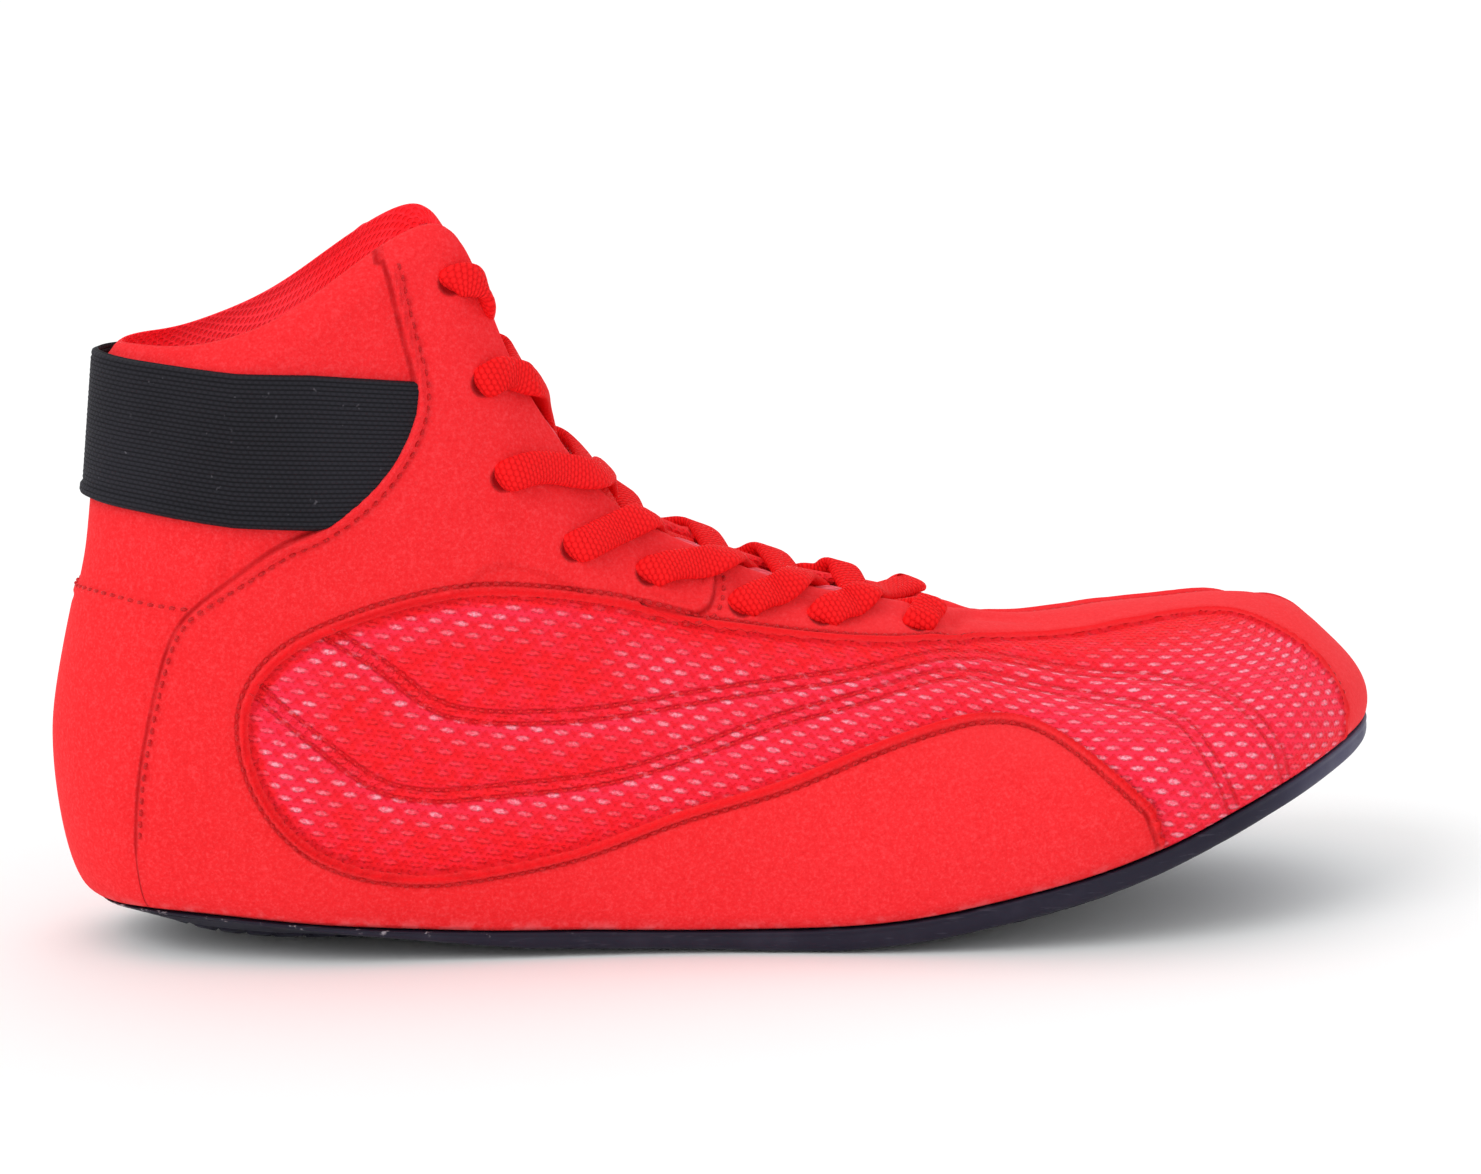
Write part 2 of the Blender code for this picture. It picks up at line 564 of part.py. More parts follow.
def tube(path, width, thick, count, outs):
    """A flat oval swept along a smooth path."""
    n = len(path)
    t = np.linspace(0, n - 1, count)
    ext = np.concatenate([[2 * path[0] - path[1]], path, [2 * path[-1] - path[-2]]])
    pts = []
    for a in t:
        i = min(int(a), n - 2)
        f = a - i
        p0, p1, p2, p3 = ext[i:i + 4]
        pts.append(0.5 * (2 * p1 + (p2 - p0) * f + (2 * p0 - 5 * p1 + 4 * p2 - p3) * f ** 2
                          + (3 * p1 - p0 - 3 * p2 + p3) * f ** 3))
    pts = np.array(pts)
    ahead = np.gradient(pts, axis=0)
    ahead /= np.linalg.norm(ahead, axis=1)[:, None]
    out = np.array([np.interp(t, np.arange(n), outs[:, k]) for k in range(3)]).T
    side = np.cross(ahead, out)
    side /= np.linalg.norm(side, axis=1)[:, None]
    up = np.cross(side, ahead)
    angle = np.arange(SIDES) * 2 * math.pi / SIDES
    ring = (pts[:, None, :] + 0.5 * width * 1.05 * np.cos(angle)[None, :, None] * side[:, None, :]
            + 0.5 * thick * 1.08 * np.sin(angle)[None, :, None] * up[:, None, :])
    number = np.arange(count * SIDES).reshape(count, SIDES)
    faces = []
    for i in range(count - 1):
        strip(faces, number[i], number[i + 1], True)
    faces.append(tuple(number[0][::-1]))
    faces.append(tuple(number[-1]))
    return ring.reshape(-1, 3), faces


def make_laces(mat, owner, helpers):
    """Each crossing is two bars joined; the front one is a single straight bar."""
    made = []
    lift = LACE_THICK / 2 + 1.6
    for k in range(len(EYELETS) - 1):
        bars = []
        for side in (False, True):
            path, outs = bar_path(k, side, lift)
            points, faces = tube(path, LACE_WIDTH, LACE_THICK, 2 * len(path) - 1, outs)
            home = owner if not side else helpers
            bars.append(new_object("lace_cross_%d" % (k + 1) if not side else "lace_bar_%d" % (k + 1),
                                   points, faces, mat, home))
        join = bars[0].modifiers.new("Join", "BOOLEAN")
        join.operation = "UNION"
        join.solver = "EXACT"
        join.object = bars[1]
        bars[1].hide_render = True
        bars[1].display_type = "WIRE"
        made.append(bars[0])
    return made


def make_loop(mat, owner):
    """Ribbon keeper on the tongue, standing over one crossing of the lace."""
    middle, up, out, _ = crossing(LOOP_AT)
    middle = middle - out * BAR_RISE
    turn = np.linspace(0, math.pi, 9)
    arch = [(-LOOP_LONG, LOOP_FOOT)]
    arch += [(-LOOP_LONG * math.cos(a) ** 1 if abs(math.cos(a)) < 1 else -LOOP_LONG * math.cos(a),
              LOOP_FOOT + 1.4 + (LOOP_TALL - LOOP_FOOT - 1.4) * math.sin(a) ** 0.6) for a in turn]
    arch += [(LOOP_LONG, LOOP_FOOT)]
    arch = np.array(arch)
    scale = np.array([(LOOP_LONG - LOOP_THICK) / LOOP_LONG, 1.0])
    inner = arch * scale
    inner[1:-1, 1] -= LOOP_THICK * np.clip((arch[1:-1, 1] - LOOP_FOOT) / 2.0, 0, 1)

    def sheet(line):
        y = np.array([-LOOP_WIDE / 2, LOOP_WIDE / 2])
        return (middle[None, None, :] + line[:, None, 0:1] * up + line[:, None, 1:2] * out
                + y[None, :, None] * np.array([0.0, 1.0, 0.0]))
    return slab("lace_loop", sheet(arch), sheet(inner), mat, owner)


# ---- scene ------------------------------------------------------------------
def main():
    for obj in list(bpy.data.objects):
        bpy.data.objects.remove(obj)
    body = bpy.data.collections.new("wrestling_shoe")
    helpers = bpy.data.collections.new("helpers")
    bpy.context.scene.collection.children.link(body)
    bpy.context.scene.collection.children.link(helpers)
    suede = material("red_suede", (0.90, 0.045, 0.05), 0.85)
    rubber = material("black_rubber", (0.022, 0.020, 0.030), 0.55)
    knit = material("red_mesh", (0.86, 0.04, 0.07), 0.75)
    liner = material("red_liner", (0.78, 0.03, 0.04), 0.8)
    elastic = material("black_elastic", (0.018, 0.018, 0.024), 0.7)
    ribbon = material("striped_ribbon", (0.02, 0.018, 0.02), 0.6)
    cord = material("red_lace", (0.80, 0.012, 0.018), 0.6)
    make_outsole(rubber, body)
    make_upper(suede, body)
    make_insole(liner, body)
    make_tongue(knit, body)
    make_strap(elastic, body)
    make_laces(cord, body, helpers)
    make_loop(ribbon, body)


main()
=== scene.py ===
"""Wrestling shoe, right foot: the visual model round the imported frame."""

import math

import bmesh
import bpy
import numpy as np
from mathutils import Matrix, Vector


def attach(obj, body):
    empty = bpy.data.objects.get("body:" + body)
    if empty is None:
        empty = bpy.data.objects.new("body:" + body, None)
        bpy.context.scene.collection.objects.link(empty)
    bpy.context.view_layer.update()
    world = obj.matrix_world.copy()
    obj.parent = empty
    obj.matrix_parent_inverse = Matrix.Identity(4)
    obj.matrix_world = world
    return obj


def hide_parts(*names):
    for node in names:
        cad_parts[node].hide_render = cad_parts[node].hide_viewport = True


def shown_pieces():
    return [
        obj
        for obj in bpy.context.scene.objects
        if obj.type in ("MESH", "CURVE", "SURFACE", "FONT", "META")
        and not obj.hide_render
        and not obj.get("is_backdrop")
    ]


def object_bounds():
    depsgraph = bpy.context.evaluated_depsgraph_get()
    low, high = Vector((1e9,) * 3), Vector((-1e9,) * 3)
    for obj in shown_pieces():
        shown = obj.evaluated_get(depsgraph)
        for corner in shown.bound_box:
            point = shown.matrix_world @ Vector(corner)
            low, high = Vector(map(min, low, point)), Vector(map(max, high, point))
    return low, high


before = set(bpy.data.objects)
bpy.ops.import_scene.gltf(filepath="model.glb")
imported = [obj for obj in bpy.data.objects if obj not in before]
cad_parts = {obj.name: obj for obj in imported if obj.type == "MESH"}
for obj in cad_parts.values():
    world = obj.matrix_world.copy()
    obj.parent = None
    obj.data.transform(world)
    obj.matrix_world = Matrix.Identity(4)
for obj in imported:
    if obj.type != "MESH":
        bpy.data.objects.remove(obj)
cad_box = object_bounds()

# ---- named sizes, mm --------------------------------------------------------
LENGTH = 284.6          # heel bulge to the feather edge at the toe tip
BALL_WIDTH = 93.6       # over the feather edge at the ball
COLLAR_BACK = 125.0     # rim height behind the heel
FLAP_PEAK = 150.0       # highest point of the two ankle flaps
INSTEP = 62.9           # height of the vamp at the front of the throat
WALL = 2.5              # upper: suede, foam and lining together
GAP = 0.3               # clearance between pieces that meet
SOLE_EDGE = 5.0         # rubber showing below the upper
SOLE_THICK = 4.6        # rubber under the foot
SOLE_LIP = 0.7          # how far the rubber stands out past the feather edge
INSOLE_THICK = 3.0
STRAP_THICK = 1.4
TONGUE_THICK = 4.6
LACE_WIDTH = 6.6
LACE_THICK = 2.4
SHIFT = (-142.76, 1.56)

# ---- sections ---------------------------------------------------------------
# One row for each section, from the back of the heel to the tip of the toe.
#   spine, spine_y   the point under the foot that the section passes through
#   lat_x, lat_y     feather edge on the outer side
#   med_x, med_y     feather edge on the inner side
#   edge             height of the feather edge
#   lat_out, med_out how far the wall bulges past the feather edge
#   belly            height of the widest point
#   lat_high, med_high, high   a point on the wall between belly and top
#   lat_top, med_top, top      the collar, the throat edge, or the ridge (0)
#   lean             how far forward the top stands of the feather edge
#   bed              height of the tread under the spine
COLUMNS = ("spine", "spine_y", "lat_x", "lat_y", "med_x", "med_y", "edge",
           "lat_out", "med_out", "belly", "lat_high", "med_high", "high",
           "lat_top", "med_top", "top", "lean", "bed")
SECTIONS = (
    (40.0, 0.0, 9.3, 0.0, 9.3, 0.0, 9.6, 9.3, 9.3, 43, 32.6, 32.6, 85, 28.6, 28.6, COLLAR_BACK, 0, 3.0),
    (41.5, 0.0, 13.3, -14.5, 13.3, 14.5, 10.2, 6.5, 6.5, 41, 30.9, 30.9, 86, 27.3, 27.3, COLLAR_BACK + 0.2, 0, 2.4),
    (44.0, 0.0, 24.5, -23.8, 24.5, 23.5, 10.2, 3.6, 3.6, 38, 28.8, 28.6, 91, 25.2, 25.2, COLLAR_BACK + 1.0, 0, 0.8),
    (49.0, 0.0, 45.0, -30.6, 45.0, 29.8, 8.8, 2.4, 2.4, 35, 28.0, 27.4, 90, 23.6, 23.6, FLAP_PEAK - 18.5, 0, 0.0),
    (63.0, 0.0, 62.0, -32.8, 62.0, 30.2, 7.4, 1.8, 1.8, 32, 27.4, 26.6, 96, 22.5, 22.5, FLAP_PEAK - 8.0, 0, 0.0),
    (80.0, 0.0, 80.0, -33.6, 80.0, 29.4, 6.3, 1.4, 1.6, 30, 27.0, 26.2, 100, 20.0, 20.0, FLAP_PEAK, -2, 0.0),
    (92.0, 0.0, 92.0, -34.0, 92.0, 28.6, 5.8, 1.2, 1.6, 28, 26.6, 25.8, 96, 17.5, 17.5, FLAP_PEAK - 8.0, -6, 0.6),
    (105.0, 0.0, 105.0, -34.4, 105.0, 27.8, 5.4, 1.2, 1.8, 26, 26.8, 25.8, 86, 16.0, 16.0, 122.0, -11, 1.1),
    (118.0, 0.0, 118.0, -35.2, 118.0, 27.4, 5.0, 1.4, 2.0, 24, 27.0, 25.8, 74, 15.0, 15.0, 102.0, -12, 1.2),
    (132.0, 0.0, 132.0, -36.8, 132.0, 28.2, 4.8, 1.5, 2.0, 22, 27.6, 26.0, 65, 14.2, 14.2, 88.5, -13, 0.8),
    (147.0, 0.0, 147.0, -39.2, 147.0, 30.4, 4.8, 1.6, 1.9, 20, 29.0, 27.0, 58, 13.5, 13.5, 79.5, -10, 0.0),
    (162.0, 0.0, 162.0, -42.3, 162.0, 34.0, 5.6, 1.6, 1.8, 19, 31.0, 28.5, 52, 12.8, 12.8, 73.0, -8, 0.0),
    (177.0, 0.2, 177.0, -45.3, 177.0, 38.4, 7.6, 1.6, 1.7, 19, 33.0, 30.0, 49, 11.0, 11.0, 69.0, -5, 0.2),
    (189.0, 0.6, 189.0, -47.2, 189.0, 41.6, 10.2, 1.5, 1.6, 20.5, 34.2, 31.5, 48, 7.6, 7.6, INSTEP + 2.6, -3, 1.1),
    (198.0, 1.0, 198.0, -48.1, 198.0, 43.5, 12.4, 1.5, 1.6, 22, 34.8, 32.5, 47.2, 0.0, 0.0, INSTEP, -2, 2.4),
    (211.0, 2.2, 211.0, -48.6, 211.0, 45.0, 15.8, 1.5, 1.6, 25, 35.2, 33.0, 48.2, 0.0, 0.0, INSTEP - 0.3, -1, 5.4),
    (225.0, 4.2, 227.0, -47.0, 226.0, 45.4, 20.8, 1.5, 1.5, 29, 35.0, 31.0, 51, 0.0, 0.0, INSTEP + 1.3, 0, 10.0),
    (237.0, 6.2, 243.0, -43.2, 241.5, 44.2, 27.2, 1.4, 1.4, 34.0, 33.0, 28.2, 53, 0.0, 0.0, INSTEP + 1.7, 0, 15.2),
    (247.0, 8.2, 257.0, -36.2, 256.0, 41.0, 32.2, 1.3, 1.3, 38.0, 30.2, 25.0, 55, 0.0, 0.0, INSTEP + 1.7, 0, 20.0),
    (253.0, 9.6, 268.5, -25.5, 267.5, 35.4, 35.3, 1.2, 1.2, 39.6, 25.4, 21.0, 55.4, 0.0, 0.0, INSTEP + 1.5, 0, 23.6),
    (257.6, 10.6, 277.2, -13.0, 276.3, 28.0, 36.6, 1.0, 1.0, 40.0, 20.2, 17.2, 55.6, 0.0, 0.0, INSTEP + 1.1, 0, 26.2),
    (260.2, 11.2, 282.8, -0.6, 282.3, 20.0, 37.0, 0.9, 0.9, 40.0, 15.9, 14.7, 55.6, 0.0, 0.0, INSTEP + 0.7, 0, 27.6),
    (261.2, 11.5, 284.6, 10.6, 284.6, 10.6, 36.9, 0.9, 0.9, 39.8, 13.9, 13.9, 55.4, 0.0, 0.0, INSTEP + 0.5, 0, 28.0),
)
DRAWN_LENGTH, DRAWN_WIDTH = 284.6, 93.6     # the sizes that the table is drawn at
ALONG = ("spine", "lat_x", "med_x", "lean")
ACROSS = ("spine_y", "lat_y", "med_y", "lat_out", "med_out")
ROWS = len(SECTIONS)
LOOP = 2 * ROWS - 2     # outer side heel to toe, then inner side toe to heel


# ---- curves through the table ----------------------------------------------
def column(name):
    drawn = np.array([row[COLUMNS.index(name)] for row in SECTIONS], float)
    if name in ALONG:
        return drawn * (LENGTH / DRAWN_LENGTH)
    return drawn * (BALL_WIDTH / DRAWN_WIDTH) if name in ACROSS else drawn


def around(lateral, medial=None):
    """A column's values once round the foot: outer side out, inner side back."""
    medial = lateral if medial is None else medial
    return np.concatenate([lateral, medial[-2:0:-1]])


def periodic_spline(values):
    """Smooth closed curve through values at 0, 1, 2 ...; returns a function."""
    n = len(values)
    m = np.zeros((n, n))
    for i in range(n):
        m[i, i] = 4
        m[i, (i - 1) % n] += 1
        m[i, (i + 1) % n] += 1
    right = 6 * (np.roll(values, -1) - 2 * values + np.roll(values, 1))
    second = np.linalg.solve(m, right)

    def at(w):
        w = np.mod(w, n)
        i = np.floor(w).astype(int) % n
        j = (i + 1) % n
        t = w - np.floor(w)
        s = 1 - t
        return (s * values[i] + t * values[j]
                + ((s ** 3 - s) * second[i] + (t ** 3 - t) * second[j]) / 6)
    return at


def periodic_monotone(values):
    """Closed curve that never passes beyond two neighbouring values."""
    n = len(values)
    step = np.roll(values, -1) - values
    before = np.roll(step, 1)
    same = step * before > 0
    slope = np.where(same, 2 * step * before / np.where(same, step + before, 1), 0)

    def at(w):
        w = np.mod(w, n)
        i = np.floor(w).astype(int) % n
        j = (i + 1) % n
        t = w - np.floor(w)
        return ((2 * t ** 3 - 3 * t ** 2 + 1) * values[i]
                + (t ** 3 - 2 * t ** 2 + t) * slope[i]
                + (3 * t ** 2 - 2 * t ** 3) * values[j]
                + (t ** 3 - t ** 2) * slope[j])
    return at


CURVES = {
    "spine": periodic_spline(around(column("spine"))),
    "spine_y": periodic_spline(around(column("spine_y"))),
    "x": periodic_spline(around(column("lat_x"), column("med_x"))),
    "y": periodic_spline(around(column("lat_y"), column("med_y"))),
    "edge": periodic_spline(around(column("edge"))),
    "out": periodic_spline(around(column("lat_out"), column("med_out"))),
    "belly": periodic_spline(around(column("belly"))),
    "high_r": periodic_spline(around(column("lat_high"), column("med_high"))),
    "high": periodic_spline(around(column("high"))),
    "top_r": periodic_monotone(around(column("lat_top"), column("med_top"))),
    "top": periodic_spline(around(column("top"))),
    "lean": periodic_spline(around(column("lean"))),
    "bed": periodic_monotone(around(column("bed"))),
}


def station(w):
    """Everything the table says at the places w round the foot."""
    s = {name: curve(w) for name, curve in CURVES.items()}
    dx, dy = s["x"] - s["spine"], s["y"] - s["spine_y"]
    s["reach"] = np.hypot(dx, dy)
    s["dx"], s["dy"] = dx / s["reach"], dy / s["reach"]
    e = 0.02
    run = CURVES["spine"](w + e) - CURVES["spine"](w - e)
    side = CURVES["spine_y"](w + e) - CURVES["spine_y"](w - e)
    rise = CURVES["top"](w + e) - CURVES["top"](w - e)
    far = np.hypot(run, side)
    far = np.where(far < 1e-4, 1.0, far)
    ends = np.abs(run) > 1e-3
    s["grade"] = np.where(ends, rise / far * (run * s["dx"] + side * s["dy"]) / far, 0)
    return s


def hermite(a, b, ta, tb, t):
    return ((2 * t ** 3 - 3 * t ** 2 + 1) * a + (t ** 3 - 2 * t ** 2 + t) * ta
            + (3 * t ** 2 - 2 * t ** 3) * b + (t ** 3 - t ** 2) * tb)


def profiles(w, fine=24):
    """Outer face of the upper: for each place w, points from feather edge to top."""
    s = station(w)
    one = [s[k][:, None] for k in ("reach", "edge", "out", "belly", "high_r", "high",
                                   "top_r", "top", "grade")]
    reach, edge, out, belly, high_r, high, top_r, top, grade = one
    q = np.linspace(0, math.pi / 2, fine)[None, :]
    r1 = reach + out * np.sin(q)
    z1 = edge + (belly - edge) * (1 - np.cos(q))
    t = np.linspace(0, 1, fine + 1)[None, 1:]
    br, bz = reach + out, belly
    l1 = np.hypot(high_r - br, high - bz)
    l2 = np.hypot(top_r - high_r, top - high)
    hr, hz = (top_r - br) / (l1 + l2), (top - bz) / (l1 + l2)
    shut = np.clip(1 - top_r / 6.0, 0, 1)
    shut = shut * shut * (3 - 2 * shut)
    er = shut * -l2 + (1 - shut) * (1.5 * (top_r - high_r) - 0.5 * hr * l2)
    ez = shut * -grade * l2 + (1 - shut) * (1.5 * (top - high) - 0.5 * hz * l2)
    r2 = hermite(br, high_r, 0 * l1, hr * l1, t)
    z2 = hermite(bz, high, l1, hz * l1, t)
    r3 = hermite(high_r, top_r, hr * l2, er, t)
    z3 = hermite(high, top, hz * l2, ez, t)
    r = np.concatenate([r1, r2, r3], axis=1)
    z = np.concatenate([z1, z2, z3], axis=1)
    up = np.clip((z - edge) / (top - edge), 0, 1) ** 1.3
    x = s["spine"][:, None] + r * s["dx"][:, None] + s["lean"][:, None] * up
    y = s["spine_y"][:, None] + r * s["dy"][:, None]
    return np.stack([x, y, z], axis=2)


def surface(w, v):
    """The outer face at places w (round) by v (0 feather edge, 1 top), as a grid."""
    w, v = np.atleast_1d(np.asarray(w, float)), np.asarray(v, float)
    p = profiles(w)
    v = np.broadcast_to(v, (len(w), v.shape[-1]))
    length = np.concatenate([np.zeros((len(w), 1)),
                             np.cumsum(np.linalg.norm(np.diff(p, axis=1), axis=2), axis=1)], axis=1)
    grid = np.empty((len(w), v.shape[1], 3))
    for i in range(len(w)):
        for k in range(3):
            grid[i, :, k] = np.interp(v[i] * length[i, -1], length[i], p[i, :, k])
    return grid


def shell(w, v, depth):
    """The outer face moved inwards by depth along its normal."""
    w, v = np.atleast_1d(np.asarray(w, float)), np.asarray(v, float)
    v = np.broadcast_to(v, (len(w), v.shape[-1]))
    e = 0.01
    low, up = np.clip(v - e, 0, 1), np.clip(v + e, 0, 1)
    tv = surface(w, up) - surface(w, low)
    tw = surface(w + 0.03, v) - surface(w - 0.03, v)
    n = np.cross(tw, tv)
    n /= np.linalg.norm(n, axis=2)[:, :, None]
    return surface(w, v) - n * depth


def v_at_height(w, z):
    """How far up the face (0 to 1) each place w reaches the height z."""
    v = np.linspace(0, 1, 161)
    heights = surface(w, v)[:, :, 2]
    return np.array([np.interp(h, row, v) for h, row in zip(np.broadcast_to(z, len(w)), heights)])


# The tongue, from its free top to its root under the vamp.
#   row      the place along the sections
#   half     half its width
#   crown    how far its middle swells up through the throat
TONGUE = (
    (5.45, 22.5, 1.2), (6.2, 23.0, 2.4), (7.2, 23.0, 2.9), (8.2, 22.5, 2.9), (9.2, 22.0, 2.8),
    (10.2, 21.5, 2.8), (11.2, 21.0, 2.7), (12.2, 20.0, 2.2), (13.1, 18.5, 0.9), (13.8, 17.0, 0.0),
    (14.5, 15.0, 0.0), (15.1, 13.0, 0.0),
)


def tongue_line(row, half, crown, count=11):
    """Top face of the tongue across the foot at one place along it."""
    v = np.linspace(0.62, 1.0, 20)
    lat = shell([row], v, WALL + 0.75)[0]
    med = shell([LOOP - row], v, WALL + 0.75)[0][::-1]
    gap = 0.5 * (med[0, 1] - lat[-1, 1])
    middle = 0.5 * (med[0, 1] + lat[-1, 1])
    line = np.concatenate([lat, med])
    order = np.argsort(line[:, 1], kind="stable")
    line = line[order]
    y = np.linspace(-half, half, count) + middle
    x = np.interp(y, line[:, 1], line[:, 0])
    z = np.interp(y, line[:, 1], line[:, 2])
    bump = np.clip(1 - ((y - middle) / max(gap, 1.0)) ** 2, 0, 1) * crown
    return np.stack([x + 0.35 * bump * min(crown, 1), y, z + bump], axis=1)


# Elastic ankle strap, seen from the side: its two edges and its front end.
#   x         along the foot
#   low, high edges of the band there
STRAP = ((0.0, 95.0, 123.6), (20.0, 93.0, 122.6), (37.0, 90.8, 121.4), (52.0, 90.0, 121.2), (73.0, 90.0, 119.6))
STRAP_END = ((90.0, 52.0), (94.0, 59.0), (101.0, 67.0), (109.0, 71.0), (119.6, 73.0))


def place_at_x(x, z, inner):
    """The place w round the foot where the face stands at x, at height z."""
    w = np.linspace(0.0, 7.0, 141)
    p = surface(w, np.linspace(0, 1, 121))
    found = []
    for xi, zi in zip(np.atleast_1d(x), np.atleast_1d(z)):
        line = np.array([np.interp(zi, p[k, :, 2], p[k, :, 0]) for k in range(len(w))])
        found.append(np.interp(xi, line, w))
    return np.array(found)


BAR_RISE = 3.1          # how far the lace's middle stands out of the throat
UNDER = 0.7             # how far towards the next eyelet a strand goes in
LOOP_AT = 3             # the crossing that the ribbon keeper holds
LOOP_LONG = 8.6         # half its length along the throat
LOOP_WIDE = 8.0
LOOP_TALL = 5.9
LOOP_FOOT = 1.6
LOOP_THICK = 0.9

# Eyelets, top to front:
#   row   the place along the sections
#   up    how far up the wall, 0 feather edge to 1 throat edge
#   over  where along the throat edge the lace leaves the flap
EYELETS = ((5.13, 0.925, 6.4), (5.93, 0.82, 7.15), (6.27, 0.71, 8.3), (7.60, 0.75, 9.1),
           (8.97, 0.845, 10.1), (10.17, 0.86, 10.95), (11.23, 0.90, 11.8), (12.50, 0.915, 12.8))


def on_flap(row, up, inner, lift):
    """A point over a flap and the way the wall faces there."""
    w = LOOP - row if inner else row
    on = shell([w], np.array([up]), 0.0)[0, 0]
    face = shell([w], np.array([up]), -1.0)[0, 0] - on
    return on + face * lift + np.array([0, 0, GAP]), face


def edge_middle(row):
    """The middle of the throat at a row."""
    return 0.5 * (on_flap(row, 0.99, False, 0.0)[0] + on_flap(row, 0.99, True, 0.0)[0])


def crossing(k):
    """Crossing k: its middle, the way up the throat, the way out."""
    first, last = EYELETS[k][2], EYELETS[k + 1][2]
    under = first + UNDER * (last - first)
    low, high = edge_middle(under), edge_middle(first)
    up = high - low
    up /= np.linalg.norm(up)
    out = np.array([up[2], 0.0, -up[0]])
    return 0.5 * (low + high) + out * BAR_RISE, up, out, under

# ---- small helpers ----------------------------------------------------------
def smooth(low, high, value):
    t = np.clip((value - low) / (high - low), 0, 1)
    return t * t * (3 - 2 * t)


def bell(value, middle, width):
    return np.exp(-((value - middle) / width) ** 2)


def unit(v):
    return v / np.maximum(np.linalg.norm(v, axis=-1, keepdims=True), 1e-12)


def place(points):
    p = np.asarray(points, float).copy()
    p[..., 0] += SHIFT[0]
    p[..., 1] += SHIFT[1]
    return p * 0.001


def on_face(w, v):
    """The plain outer face at pairs of places, in table millimetres."""
    p = surface(np.asarray(w, float), np.asarray(v, float)[:, None])[:, 0]
    p[:, 2] += GAP + 0.1
    return p


def spline(points, count, closed=False):
    """A natural cubic curve through points, evenly spaced along its length."""
    p = np.asarray(points, float)
    if closed:
        p = np.concatenate([p, p[:1]])
    n = len(p)
    far = np.linalg.norm(np.diff(p, axis=0), axis=1)
    s = np.concatenate([[0], np.cumsum(np.maximum(far, 1e-9))])
    h = np.diff(s)
    m = np.zeros((n, n))
    right = np.zeros((n, p.shape[1]))
    for i in range(1, n - 1):
        m[i, i - 1], m[i, i], m[i, i + 1] = h[i - 1], 2 * (h[i - 1] + h[i]), h[i]
        right[i] = 6 * ((p[i + 1] - p[i]) / h[i] - (p[i] - p[i - 1]) / h[i - 1])
    if closed:
        m[0, 0], m[0, 1], m[0, n - 2], m[0, n - 1] = 2 * h[0], h[0], h[-1], 2 * h[-1]
        right[0] = 6 * ((p[1] - p[0]) / h[0] - (p[0] - p[-2]) / h[-1])
        m[n - 1, 0], m[n - 1, n - 1] = 1, -1
    else:
        m[0, 0] = m[n - 1, n - 1] = 1
    c = np.linalg.solve(m, right)

    def at(x):
        i = np.clip(np.searchsorted(s, x, side="right") - 1, 0, n - 2)
        a = (s[i + 1] - x) / h[i]
        b = 1 - a
        return (a[:, None] * p[i] + b[:, None] * p[i + 1]
                + ((a ** 3 - a)[:, None] * c[i] + (b ** 3 - b)[:, None] * c[i + 1]) * (h[i] ** 2)[:, None] / 6)
    dense = at(np.linspace(0, s[-1], 12 * n))
    run = np.concatenate([[0], np.cumsum(np.linalg.norm(np.diff(dense, axis=0), axis=1))])
    even = np.interp(np.linspace(0, run[-1], count), run, np.linspace(0, s[-1], 12 * n))
    return at(even)


def inside(poly, w, v):
    """Whether each place lies within a closed outline, both in (row, up)."""
    hit = np.zeros(w.shape, bool)
    a = poly
    b = np.roll(poly, -1, axis=0)
    for (w0, v0), (w1, v1) in zip(a, b):
        if v0 == v1:
            continue
        cross = (v0 > v) != (v1 > v)
        hit ^= cross & (w < (w1 - w0) * (v - v0) / (v1 - v0) + w0)
    return hit


def gap_to(points, line, block=6000):
    """Distance from each point to a polyline."""
    out = np.empty(len(points))
    a, b = line[:-1], line[1:]
    ab = b - a
    long = np.maximum((ab ** 2).sum(1), 1e-12)
    for i in range(0, len(points), block):
        p = points[i:i + block]
        near = ((p[:, None, :] - line[None, ::4, :]) ** 2).sum(2)
        k = near.argmin(1) * 4
        best = np.full(len(p), 1e18)
        for step in range(-4, 4):
            j = np.clip(k + step, 0, len(a) - 1)
            t = np.clip(((p - a[j]) * ab[j]).sum(1) / long[j], 0, 1)
            q = a[j] + ab[j] * t[:, None]
            best = np.minimum(best, ((p - q) ** 2).sum(1))
        out[i:i + block] = np.sqrt(best)
    return out


